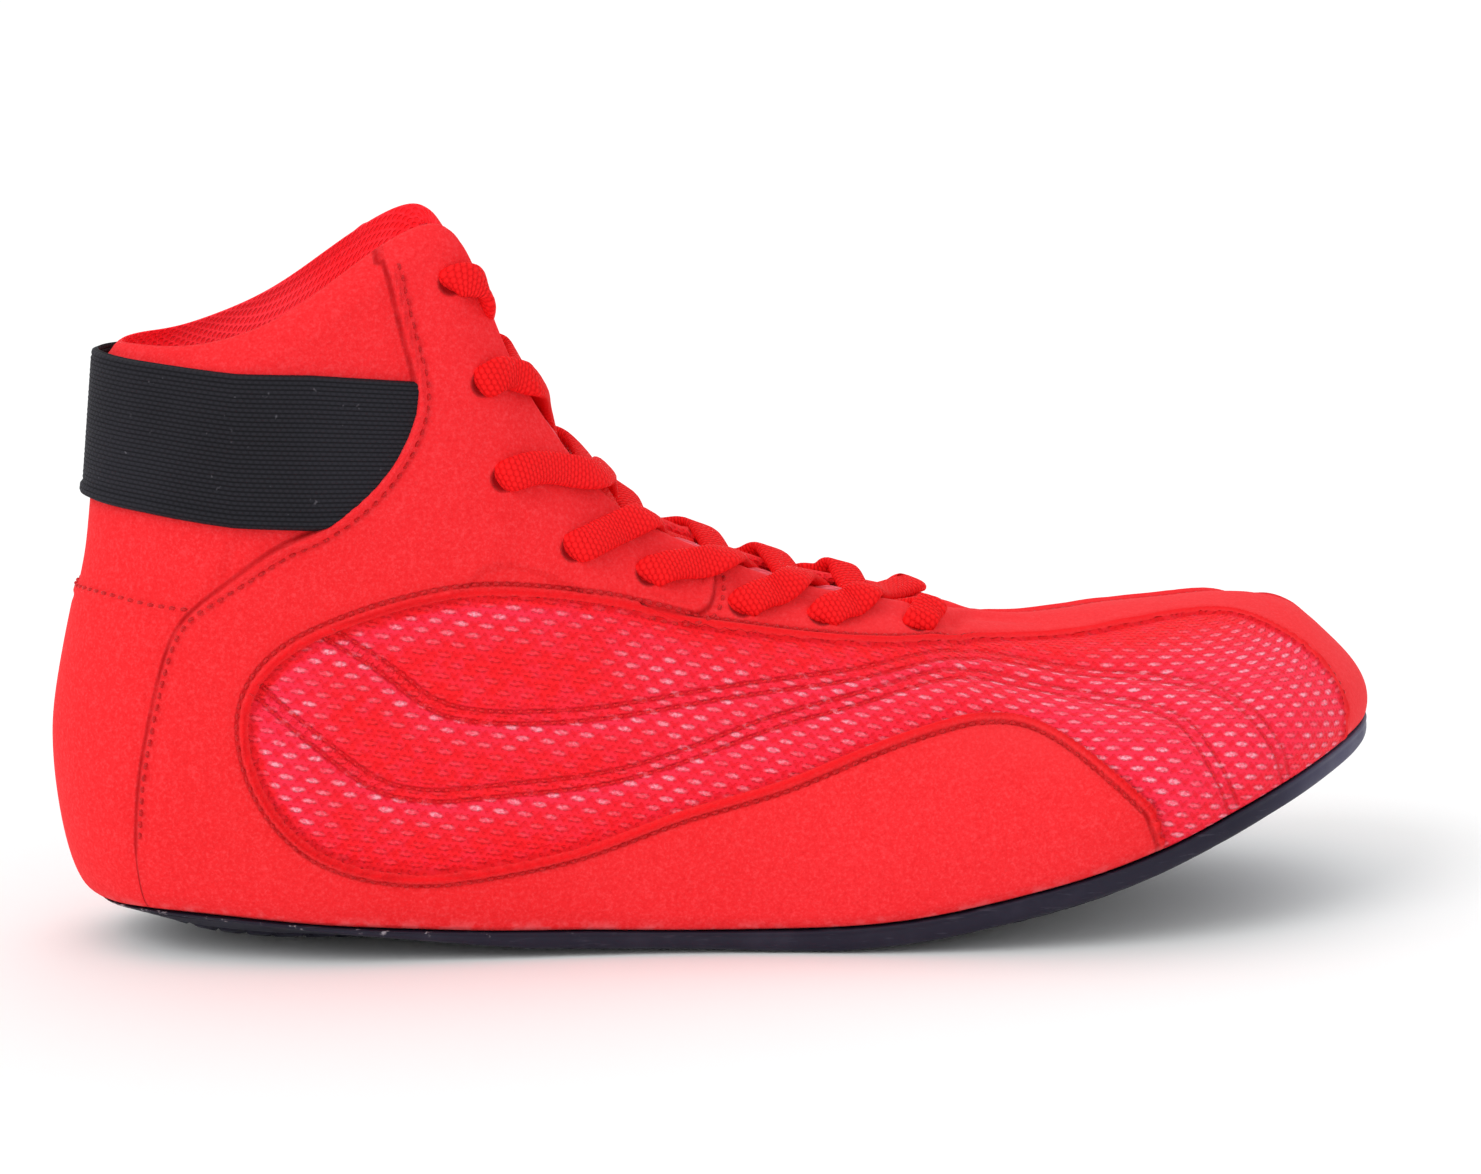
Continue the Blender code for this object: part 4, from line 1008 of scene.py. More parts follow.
MESH_OUTLINE = dense(MESH_RING)
D_PANEL = signed(MESH_RING, MESH_OUTLINE, 1200)
behind = np.concatenate([dense(QUARTER_EDGE), [(-1.0, -0.1), (-1.0, 1.2), (4.2, 1.2)]])
D_QUARTER = signed(QUARTER_EDGE, behind, 500)
vamp = np.concatenate([dense(FRONT_EDGE), dense(MESH_RING)[145:], [(23.5, -0.2), (23.5, 1.2), (9.96, 1.2)]])
D_FRONT = signed(FRONT_EDGE, vamp, 200)
below_a = np.concatenate([dense(CHANNEL_A), [(3.0, -0.3), (1.0, 0.3)]])
below_b = np.concatenate([dense(CHANNEL_B), [(3.0, -0.3), (1.0, 0.3)]])
D_A = -signed(CHANNEL_A, below_a, 600)
D_B = -signed(CHANNEL_B, below_b, 600)
heel_low = np.concatenate([dense(HEEL_SEAM), [(2.2, -0.2), (-1.0, -0.2), (-1.0, 0.574)]])
D_HEEL = signed(HEEL_SEAM, heel_low, 160)
EYE_SPOTS = np.array([(5.28, 0.925), (5.98, 0.82), (6.33, 0.71), (7.66, 0.75), (9.00, 0.845), (10.17, 0.86), (11.23, 0.90), (12.50, 0.915)])
D_EYE = np.full(BASE.shape[:2], 99.0)
for side_ in (False, True):
    rows_ = ~LATERAL if side_ else LATERAL
    spots_ = on_face(LOOP - EYE_SPOTS[:, 0] if side_ else EYE_SPOTS[:, 0], EYE_SPOTS[:, 1])
    far_ = np.linalg.norm(BASE[rows_][:, :, None, :] - spots_[None, None], axis=3).min(axis=2)
    D_EYE[rows_] = far_


def flat_map():
    """U runs along the shoe, V up its side, both in millimetres / MM."""
    line = on_face(np.linspace(0, ROWS - 1, 600), np.full(600, 0.3))
    x = np.maximum.accumulate(line[:, 0])
    run = np.concatenate([[0], np.cumsum(np.linalg.norm(np.diff(line[:, :2], axis=0), axis=1))])
    keep = np.concatenate([[True], np.diff(x) > 1e-4])
    U = np.interp(BASE[:, :, 0], x[keep], run[keep])
    step = np.diff(BASE, axis=1)
    V = np.concatenate([np.zeros((len(BASE), 1)), np.cumsum(np.hypot(step[:, :, 2], step[:, :, 1]), axis=1)], axis=1)
    V = V + BASE[:, :1, 2]
    return np.stack([U, V], axis=2) / MM


UVS = flat_map()


def relief():
    """How far the finished face stands off the plain one, in millimetres."""
    Z = BASE[:, :, 2]
    X = BASE[:, :, 0]
    on_quarter = smooth(-0.5, 0.5, D_QUARTER)
    on_vamp = smooth(0.5, -0.5, D_FRONT)
    lift = 0.85 * on_quarter * (1 - on_vamp)
    # the strap's front end goes in under the quarter's edge
    lift = lift + 1.15 * on_quarter * np.exp(-np.maximum(D_QUARTER, 0) / 7.0) * smooth(84, 92, Z) * smooth(126, 118, Z)
    # rolled edge of the quarter, then the pressed line of its stitches
    narrow = 0.35 + 0.65 * smooth(0.52, 0.64, V2)
    clear = smooth(1.5, 7.0, (UVS[:, -1:, 1] - UVS[:, :, 1]) * MM)
    lift = lift + clear * (1.0 * narrow * bell(D_QUARTER, 1.1, 0.85) - 0.75 * bell(D_QUARTER, 0.9 + 1.6 * narrow, 0.6))
    lift = lift - 0.35 * clear * bell(D_QUARTER, -0.9, 0.9)
    front = np.where(V2 > 0.75, D_FRONT, 99.0)
    lift = lift + 0.65 * bell(front, 1.2, 0.9) - 0.4 * bell(front, 2.6, 0.7) - 0.3 * bell(front, -0.9, 0.9)
    # heel counter over the back panel
    counter = smooth(0.5, -0.5, D_HEEL) * smooth(0.5, -0.5, D_QUARTER)
    lift = lift + 0.55 * counter + (0.25 * bell(D_HEEL, -1.0, 0.8) - 0.25 * bell(D_HEEL, -2.5, 0.8)) * smooth(0.5, -0.5, D_QUARTER)
    # the mesh panel: a corded lip round padded channels
    lift = lift + 1.1 * bell(D_PANEL, 0.95, 0.9) - 0.55 * bell(D_PANEL, 2.45, 0.75)
    within = smooth(0.35, -0.5, D_PANEL)
    edge = np.maximum(-D_PANEL, 0)
    chan = np.minimum(abs(D_A), abs(D_B))
    channel = np.maximum(chan - 1.2, 0)
    calm = smooth(18.9, 15.2, W2)
    puff = (1 - np.exp(-edge / 3.2)) * (1 - np.exp(-channel / 3.0))
    lift = lift * (1 - within) + within * (0.85 * 0 + (0.25 + 1.35 * calm) * puff - 0.55 + 0.45 * (1 - calm))
    lift = lift + within * 0.25 * bell(chan, 0.0, 0.7)
    low = smooth(0.0, 0.045, V2)
    lift = lift * low + 0.2 * (1 - low)
    # eyelets: pressed in, with a slightly raised ring
    lift = lift - 1.3 * bell(D_EYE, 0.0, 2.0) + 0.22 * bell(D_EYE, 3.4, 1.0)
    # the suede eases in softly over the sole, and rolls at the collar
    lift = lift - 0.2 * bell(V2, 0.0, 0.02)
    from_top = (UVS[:, -1:, 1] - UVS[:, :, 1]) * MM
    collar = smooth(5.4, 4.2, W2)
    lift = lift - collar * 2.1 * np.clip(1 - from_top / 6.5, 0, 1) ** 2
    # small folds: ahead of the throat, behind the ankle, over the instep
    fold = 0.0
    for row, up, along, across, turn, deep in FOLDS:
        a = (W2 - row) * 13.0
        b = (V2 - up) * 62.0
        u = a * math.cos(turn) + b * math.sin(turn)
        t = -a * math.sin(turn) + b * math.cos(turn)
        fold = fold + deep * np.exp(-(u / along) ** 2) * (np.exp(-(t / across) ** 2) - 0.6 * np.exp(-((t - 1.9 * across) / across) ** 2))
    lift = lift + fold * (1 - within)
    # hand-made unevenness
    wave = (np.sin(X / 9.0 + Z / 13.0) * np.sin(Z / 8.0 - X / 21.0 + 1.0) + 0.6 * np.sin(X / 23.0 + 2.0 + BASE[:, :, 1] / 9.0) * np.sin(Z / 17.0 + 0.5))
    lift = lift + 0.16 * wave * (1 - within)
    return lift, chan


# Soft folds: place, half length and half width in mm, turn, depth in mm
FOLDS = (
    (13.5, 0.93, 7.5, 1.5, 0.15, -1.0),
    (14.3, 0.95, 8.0, 1.7, -0.10, -0.55),
    (13.0, 0.86, 5.0, 1.3, 0.55, -0.40),
    (6.6, 0.60, 15.0, 3.2, 0.95, -0.45),
    (7.4, 0.66, 13.0, 3.0, 0.80, -0.35),
    (2.5, 0.60, 7.0, 0.9, 1.25, -0.30),
    (2.35, 0.585, 5.5, 0.8, 0.9, -0.25),
    (1.2, 0.62, 11.0, 2.6, 0.0, -0.30),
    (15.3, 0.90, 12.0, 3.0, 0.05, -0.30),
)

LIFT, CHAN = relief()
LIFT = LIFT * (1 - 0.8 * CALM)
ridge_ = np.flatnonzero(ridge_column())
mirror_ = (len(BASE) - ridge_) % len(BASE)
LIFT[ridge_, -1] = 0.5 * (LIFT[ridge_, -1] + LIFT[mirror_, -1])
SKIN = BASE + FACE * LIFT[:, :, None]
DROP = smooth(13.6, 12.4, SIDE_ROW)[:, None] * 1.5 * np.clip(1 - (UVS[:, -1:, 1] - UVS[:, :, 1]) * MM / 9.0, 0, 1)
SKIN = SKIN - unit(BASE[:, -1:] - BASE[:, -4:-3]) * DROP[:, :, None]

def settle(x, up):
    """How far the empty vamp sinks over the toes, in millimetres."""
    deep = np.interp(x, [188, 198, 209, 220, 231, 241, 252, 262, 270], [0, 0.6, 1.4, 2.1, 2.2, 1.8, 1.3, 1.1, 0])
    return deep * smooth(0.25, 0.72, up)


SKIN[:, :, 2] -= settle(SKIN[:, :, 0], V2)

SKIN_N = normals_of(SKIN)


def inner_depth(v, w):
    """How deep the lining lies: padded round the collar."""
    collar = smooth(7.2, 5.2, w)
    return WALL + collar * 2.3 * bell(v, 0.925, 0.075)


def make_upper(mats):
    ring = len(ROWS_ROUND)
    ups = UPS
    open_part = ~ridge_column()
    edge = SKIN[:, -1]
    n = SKIN_N[:, -1]
    up = unit(SKIN[:, -1] - SKIN[:, -3])
    steps = 4
    swell = np.where(open_part, smooth(14.0, 13.2, SIDE_ROW), 0.0)
    down = np.array([1.0, .99, .975, .955, .93, .90, .86, .81, .72, .58, .42, .26, .12, 0.0])
    inner = surface(ROWS_ROUND, down)
    inner[:, :, 2] += GAP + 0.1
    inner[:, :, 2] -= settle(inner[:, :, 0], down[None, :])
    near = np.array([np.abs(UP - d).argmin() for d in down])
    nn = FACE[:, near]
    depth = inner_depth(down[None, :], SIDE_ROW[:, None])
    depth[:, 0] = WALL + 1.6 * smooth(5.4, 4.2, SIDE_ROW)
    inside_pts = inner - nn * depth[:, :, None]
    rim = []
    thick = np.linalg.norm(edge - inside_pts[:, 0], axis=1)
    across = unit(inside_pts[:, 0] - edge)
    for k in range(1, steps + 1):
        a = math.pi * k / (steps + 1)
        t = 0.5 - 0.5 * math.cos(a)
        rim.append(edge + across * (thick * t)[:, None]
                   + up * (math.sin(a) * (1.35 + 0.5 * smooth(5.4, 4.2, SIDE_ROW)) * swell)[:, None] + n * (0.25 * math.sin(a) * swell)[:, None])
    rim = np.stack(rim, axis=1)
    grid = np.concatenate([SKIN, rim, inside_pts], axis=1)
    cols = grid.shape[1]
    f = quads(ring, cols, ring_rows=True)
    i = f[:, 0] // cols
    j = f[:, 0] % cols
    shut = ridge_column()
    both = shut[i] & shut[(i + 1) % ring]
    drop = both & (j >= ups - 1) & (j < ups + steps)
    f_mat = np.where(j >= ups + 2, 1, 0)
    last = quads(ring, cols, ring_rows=True)[:0]
    k = np.arange(ring)
    k2 = (k + 1) % ring
    foot = np.stack([k * cols + cols - 1, k2 * cols + cols - 1, k2 * cols, k * cols], axis=1)
    faces = np.concatenate([f[~drop], foot])
    mat_index = np.concatenate([f_mat[~drop], np.ones(ring, int)])

    def widen(a, fill=None):
        tail = np.repeat(a[:, -1:], cols - ups, axis=1) if fill is None else np.full((ring, cols - ups), fill)
        return np.concatenate([a, tail], axis=1).ravel()
    uv = np.concatenate([UVS, np.repeat(UVS[:, -1:], cols - ups, axis=1)], axis=1)
    uv[:, ups:, 1] += np.cumsum(np.linalg.norm(np.diff(grid[:, ups - 1:], axis=1), axis=2), axis=1) / MM
    glow = np.zeros(BASE.shape[:2])
    for d in (D_A, D_B):
        glow = np.maximum(glow, np.exp(-np.maximum(d - 1.6, 0) / 4.2) * smooth(0.9, 2.2, d))
    below_top = -D_PANEL
    glow = np.maximum(glow, smooth(1.2, 3.0, below_top) * np.exp(-np.maximum(below_top - 2.5, 0) / 4.5) * smooth(9.5, 6.5, W2) * (V2 > 0.3))
    rear = smooth(4.0, 2.9, W2)
    glow = np.maximum(glow, 0.85 * rear * smooth(1.0, 3.0, below_top))
    fore = smooth(12.6, 15.0, W2) * smooth(0.72, 0.52, V2) * smooth(0.02, 0.14, V2)
    glow = np.maximum(glow, fore)
    middle = smooth(7.0, 9.0, W2) * smooth(0.80, 0.62, V2) * 0.55
    glow = np.maximum(glow, middle)
    foot_mm = (UVS[:, :, 1] - UVS[:, :1, 1]) * MM
    # mask for painted light: how far each face turns upwards, plus the top of the toe
    painted_top_light = smooth(0.45, 0.9, FACE[:, :, 2]) + 0.6 * smooth(17.5, 19.5, W2)
    attributes = {
        "panel": widen(D_PANEL, 50.0), "chan": widen(CHAN, 50.0), "glow": widen(glow, 0.0), "quilt": widen(1 - 0.3 * smooth(10.5, 13.5, W2), 1.0),
        "quarter": widen(np.where(abs(D_FRONT) < abs(D_QUARTER), np.where(V2 > 0.75, D_FRONT, 50.0), D_QUARTER)),
        "eye": widen(D_EYE, 50.0), "foot": widen(foot_mm, 50.0), "painted_top_light": widen(np.clip(painted_top_light, 0, 1)),
    }
    obj = build("upper_shell", grid.reshape(-1, 3), faces, mats, uv=uv.reshape(-1, 2),
                face_mat=mat_index, attributes=attributes, weld=2e-6)
    return obj


# ---- reading the finished face ----------------------------------------------
def skin(w, v):
    """Point and outward direction on the finished face at pairs of places."""
    n = len(ROWS_ROUND)
    w = np.mod(np.asarray(w, float), LOOP)
    v = np.clip(np.asarray(v, float), 0, 1) * (UPS - 1)
    i = np.interp(w, np.append(ROWS_ROUND, LOOP), np.arange(n + 1))
    i0 = np.floor(i).astype(int)
    fi = (i - i0)[:, None]
    i0, i1 = i0 % n, (i0 + 1) % n
    j0 = np.minimum(v.astype(int), UPS - 2)
    fj = (v - j0)[:, None]

    def read(grid):
        low = grid[i0, j0] * (1 - fj) + grid[i0, j0 + 1] * fj
        high = grid[i1, j0] * (1 - fj) + grid[i1, j0 + 1] * fj
        return low * (1 - fi) + high * fi
    return read(SKIN), unit(read(SKIN_N))


def shifted(places, off, mirror):
    """A seam moved sideways over the face by off mm, to the left of its run."""
    w, v = places[:, 0].copy(), places[:, 1].copy()
    if mirror:
        w = LOOP - w
    e = 0.01
    p = on_face(w, np.clip(v, 0, 1))
    tw = (on_face(w + e, np.clip(v, 0, 1)) - p) / e
    low, high = np.clip(v - e, 0, 1), np.clip(v + e, 0, 1)
    tv = (on_face(w, high) - on_face(w, low)) / (high - low)[:, None]
    ahead = unit(np.gradient(p, axis=0))
    n = unit(np.cross(tw, tv))
    side = np.cross(n, ahead) * np.broadcast_to(off, len(w))[:, None] * (-1 if mirror else 1)
    a, b, c = (tw * tw).sum(1), (tw * tv).sum(1), (tv * tv).sum(1)
    d, f = (tw * side).sum(1), (tv * side).sum(1)
    det = np.maximum(a * c - b * b, 1e-9)
    return w + (d * c - f * b) / det, v + (a * f - b * d) / det


class Bundle:
    """Many small solids gathered into one mesh."""

    def __init__(self):
        self.points, self.faces, self.uvs, self.count = [], [], [], 0

    def add(self, points, faces, uv=None):
        self.points.append(points)
        self.faces.append(np.asarray(faces) + self.count)
        self.uvs.append(uv if uv is not None else np.zeros((len(points), 2)))
        self.count += len(points)

    def build(self, name, mats):
        quad = [tuple(f) for part in self.faces for f in part]
        return build(name, np.concatenate(self.points), quad, mats, uv=np.concatenate(self.uvs))


def add_stitches(bundle, table, off, pitch=2.5, long=1.9, radius=0.40, lift=0.04, start=0.5, cut=None, wobble=0.0):
    """A run of stitches beside a seam, on both sides of the shoe."""
    places = dense(table)
    for mirror in (False, True):
        here = off(places[:, 1]) if callable(off) else off
        w, v = shifted(places, here, mirror)
        ok = (v > 0.012) & (v < 0.985)
        if cut is not None:
            ok &= cut(np.where(w > ROWS - 1, LOOP - w, w), v)
        if ok.sum() < 6:
            continue
        w, v = w[ok], v[ok]
        p, n = skin(w, v)
        run = np.concatenate([[0], np.cumsum(np.linalg.norm(np.diff(p, axis=0), axis=1))])
        gaps = np.diff(run) < 4.0
        heads = np.arange(start, run[-1] - long, pitch)
        t = np.linspace(0, 1, 5)
        where = (heads[:, None] + t[None, :] * long)
        bad = ~gaps[np.clip(np.searchsorted(run, where[:, 2]) - 1, 0, len(gaps) - 1)]
        where = where[~bad]
        flat = where.ravel()
        ww, vv = np.interp(flat, run, w), np.interp(flat, run, v)
        q, m = skin(ww, vv)
        q, m = q.reshape(*where.shape, 3), m.reshape(*where.shape, 3)
        ahead = unit(q[:, -1] - q[:, 0])[:, None, :]
        side = unit(np.cross(m, ahead))
        arch = np.array([-0.42, -0.02, 0.10, -0.02, -0.42]) + lift
        wide = np.array([0.35, 0.95, 1.0, 0.95, 0.35]) * radius
        centre = q + m * arch[None, :, None]
        if wobble:
            centre = centre + side * (wobble * np.sin(np.arange(len(centre)) * 2.4))[:, None, None]
        angle = np.arange(6) * math.pi / 3
        ring = (centre[:, :, None, :] + wide[None, :, None, None] * (
            np.cos(angle)[None, None, :, None] * side[:, :, None, :]
            + np.sin(angle)[None, None, :, None] * m[:, :, None, :]))
        one = quads(5, 6, ring_cols=True)
        for part in ring:
            pts = part.reshape(-1, 3)
            bundle.add(pts, one)


def make_stitching(mat):
    b = Bundle()
    add_stitches(b, QUARTER_EDGE, lambda v: QUARTER_SIDE * (0.75 + 1.65 * smooth(0.52, 0.64, v)))
    add_stitches(b, FRONT_EDGE, FRONT_SIDE * 2.4)
    add_stitches(b, HEEL_SEAM, 0.0, cut=lambda w, v: w < 2.16)
    add_stitches(b, MESH_RING, PANEL_SIDE * 2.35, pitch=2.2, long=1.75)
    return b.build("seam_stitching", [mat])


def make_quilting(mat):
    b = Bundle()
    for table in (CHANNEL_A, CHANNEL_B):
        for off in (-1.25, 1.25):
            add_stitches(b, table, off, pitch=2.0, long=1.55, radius=0.27, lift=-0.05, cut=lambda w, v: w < 11.8)
            add_stitches(b, table, off, pitch=2.3, long=1.5, radius=0.24, lift=-0.13, cut=lambda w, v: w > 12.0)
    return b.build("channel_stitching", [mat])


# Which side of each line its stitches lie on.
QUARTER_SIDE = 1.0
FRONT_SIDE = 1.0
PANEL_SIDE = 1.0


# ---- sweeps -----------------------------------------------------------------
def knots(points, values, step):
    """A smooth curve through points, with values read along it."""
    p = np.asarray(points, float)
    far = np.linalg.norm(np.diff(p, axis=0), axis=1)
    s = np.concatenate([[0], np.cumsum(np.sqrt(np.maximum(far, 1e-6)))])
    n = len(p)
    h = np.diff(s)
    m = np.zeros((n, n))
    right = np.zeros((n, 3))
    m[0, 0] = m[-1, -1] = 1
    for i in range(1, n - 1):
        m[i, i - 1], m[i, i], m[i, i + 1] = h[i - 1], 2 * (h[i - 1] + h[i]), h[i]
        right[i] = 6 * ((p[i + 1] - p[i]) / h[i] - (p[i] - p[i - 1]) / h[i - 1])
    c = np.linalg.solve(m, right)

    def at(x):
        i = np.clip(np.searchsorted(s, x, side="right") - 1, 0, n - 2)
        a = (s[i + 1] - x) / h[i]
        b = 1 - a
        return (a[:, None] * p[i] + b[:, None] * p[i + 1]
                + ((a ** 3 - a)[:, None] * c[i] + (b ** 3 - b)[:, None] * c[i + 1]) * (h[i] ** 2)[:, None] / 6)
    fine = np.linspace(0, s[-1], 30 * n)
    q = at(fine)
    run = np.concatenate([[0], np.cumsum(np.linalg.norm(np.diff(q, axis=0), axis=1))])
    x = np.interp(np.arange(0, run[-1], step), run, fine)
    vals = np.stack([np.interp(x, s, np.asarray(values)[:, k]) for k in range(np.asarray(values).shape[1])], axis=1)
    return at(x), vals, np.interp(x, fine, run)


def ribbon_sweep(bundle, pts, side, width, thick, run, sides=18, square=0.75):
    """A flat oval swept along pts; side is the way across it."""
    ahead = unit(np.gradient(pts, axis=0))
    side = unit(side - (side * ahead).sum(1)[:, None] * ahead)
    for _ in range(4):
        side[1:-1] = unit(0.5 * side[1:-1] + 0.25 * (side[:-2] + side[2:]))
        side = unit(side - (side * ahead).sum(1)[:, None] * ahead)
    up = np.cross(side, ahead)
    a = np.arange(sides) * 2 * math.pi / sides
    ca, sa = np.cos(a), np.sin(a)
    cx = np.sign(ca) * abs(ca) ** square
    sy = np.sign(sa) * abs(sa) ** 0.85
    ring = (pts[:, None, :] + 0.5 * width[:, None, None] * cx[None, :, None] * side[:, None, :]
            + 0.5 * thick[:, None, None] * sy[None, :, None] * up[:, None, :])
    n = len(pts)
    uv = np.stack([np.broadcast_to(run[:, None], (n, sides)),
                   0.5 * width[:, None] * cx[None, :]], axis=2) / MM
    faces = [tuple(f) for f in quads(n, sides, ring_cols=True)]
    points = ring.reshape(-1, 3)
    uv = uv.reshape(-1, 2)
    ends = np.stack([pts[0], pts[-1]])
    points = np.concatenate([points, ends])
    uv = np.concatenate([uv, np.zeros((2, 2))])
    cap = []
    for k in range(sides):
        j = (k + 1) % sides
        cap.append((n * sides, j, k))
        cap.append((n * sides + 1, (n - 1) * sides + k, (n - 1) * sides + j))
    bundle.points.append(points)
    bundle.uvs.append(uv)
    bundle.faces.append([tuple(i + bundle.count for i in f) for f in faces + cap])
    bundle.count += len(points)


# ---- the lace ---------------------------------------------------------------
HOLES = ((5.28, 0.925, 6.28), (5.98, 0.82, 7.15), (6.33, 0.71, 8.25), (7.66, 0.75, 9.05),
         (9.00, 0.845, 10.05), (10.17, 0.86, 10.92), (11.23, 0.90, 11.8), (12.50, 0.915, 12.8))
LACE_W = 7.0
LACE_T = 2.8
RISES = (-2.2, 0.7, 1.9, -2.6, -1.6, -1.3, -2.0)      # of each crossing over the throat
CROSS_LIFT = 1.30       # half the distance between two strands where they cross


def flap(row, up, inner, lift):
    w = LOOP - row if inner else row
    p, n = skin([w], [up])
    q, _ = skin([w + (-0.05 if inner else 0.05)], [up])
    return p[0] + n[0] * lift, unit(q[0] - p[0]), n[0]


def lace_route():
    """The whole lace, down from one top eyelet, across at the front, and up to the other."""
    pts, vals = [], []

    def add(p, side, width, thick):
        pts.append(np.asarray(p, float))
        vals.append([*side, width, thick])

    def strand(k, inner, down):
        """Outside part of one strand, from its eyelet to the far side."""
        row, up, over = HOLES[k]
        got = []
        p, t, n = flap(row, up, inner, -2.6)
        got.append((p, t, 4.6, 2.3))
        p, t, n = flap(row, up, inner, -0.1)
        got.append((p, t, 6.3, 2.8))
        for f, lift, width in ((0.12, 1.6, 7.1), (0.36, 1.75, LACE_W), (0.68, 1.75, LACE_W)):
            p, t, n = flap(row + f * (over - row), up + f * (0.985 - up), inner, lift)
            got.append((p, t, width, LACE_T))
        middle, mid_up, out, under = crossing(k)
        middle = middle + out * (RISES[k] - BAR_RISE)
        p, t, n = flap(over, 0.992, inner, 1.75 if k else 1.2)
        got.append((p + out * (0.9 if k else -0.9), t, LACE_W, LACE_T))
        near = not inner
        rise = CROSS_LIFT if near else -CROSS_LIFT
        got.append((middle + out * rise, -mid_up, LACE_W, LACE_T))
        if k == len(EYELETS) - 2:
            row, up, over = HOLES[k + 1]
            p, t, n = flap(over, 0.992, not inner, 1.5)
            got.append((p + out * 0.35, t, LACE_W, LACE_T))
            for f, lift, width in ((0.68, 1.75, LACE_W), (0.36, 1.7, LACE_W), (0.12, 1.6, 7.1)):
                p, t, n = flap(row + f * (over - row), up + f * (0.985 - up), not inner, lift)
                got.append((p, t, width, LACE_T))
            p, t, n = flap(row, up, not inner, -0.1)
            got.append((p, t, 6.3, 2.8))
            p, t, n = flap(row, up, not inner, -2.6)
            got.append((p, t, 4.6, 2.3))
            p, t, n = flap(row, up + 0.02, not inner, -(WALL + 1.7))
            got.append((p, t, 5.5, 2.2))
        else:
            deep = -(WALL + 1.55)
            p, t, n = flap(under, 0.975, not inner, deep)
            got.append((p, t, LACE_W, LACE_T))
            row2, up2, _ = HOLES[k + 1]
            p, t, n = flap(0.5 * (under + row2), 0.5 * (0.975 + up2) + 0.01, not inner, deep - 0.2)
            got.append((p, t, LACE_W, LACE_T))
            p, t, n = flap(row2, up2 + 0.015, not inner, deep + 0.1)
            got.append((p, t, 5.2, 2.3))
        return got

    def chain(inner):
        got = []
        row, up, _ = HOLES[0]
        p, t, n = flap(row, up + 0.02, inner, -(WALL + 1.5))
        got.append((p, t, 4.8, 2.3))
        for k in range(len(EYELETS) - 1):
            got += strand(k, inner, True)
            inner = not inner
        return got
    first, second = chain(False), chain(True)
    lowest, _, _ = flap(HOLES[-1][0], 0.97, False, -(WALL + 1.9))
    other, side, _ = flap(HOLES[-1][0], 0.97, True, -(WALL + 1.9))
    bar = [(0.5 * (lowest + other) + np.array([0.0, 0.0, -0.4]), side, 6.0, 2.2)]
    for item in first + bar + second[::-1]:
        add(*item)
    return np.array(pts), np.array(vals)


def make_lace(mat):
    points, vals = lace_route()
    pts, got, run = knots(points, vals, 0.7)
    b = Bundle()
    side, width, thick = got[:, :3], got[:, 3], got[:, 4]
    ribbon_sweep(b, pts, side, width, thick, run, 18)
    return b.build("lace_run", [mat]), run[-1]


def make_keeper(mat):
    """Ribbon keeper on the tongue, standing over one crossing of the lace."""
    middle, up, out, _ = crossing(LOOP_AT)
    middle = middle + out * (RISES[LOOP_AT] - BAR_RISE - CROSS_LIFT)
    a = np.linspace(0, math.pi, 25)
    c = np.cos(a)
    arch = np.stack([-5.6 * np.sign(c) * abs(c) ** 0.75, -1.5 + 3.6 * np.sin(a) ** 0.6], axis=1)
    arch = np.concatenate([[(-8.5, -2.2)], arch, [(8.5, -2.2)]])
    line = spline(arch, 90)
    pts = middle[None, :] + line[:, 0:1] * up + line[:, 1:2] * out
    run = np.concatenate([[0], np.cumsum(np.linalg.norm(np.diff(pts, axis=0), axis=1))])
    b = Bundle()
    side = np.broadcast_to(np.array([0.0, 1.0, 0.0]), pts.shape)
    wide = np.full(len(pts), LOOP_WIDE)
    ribbon_sweep(b, pts, side, wide, np.full(len(pts), 0.9), run, 22, square=0.45)
    return b.build("lace_keeper", [mat])


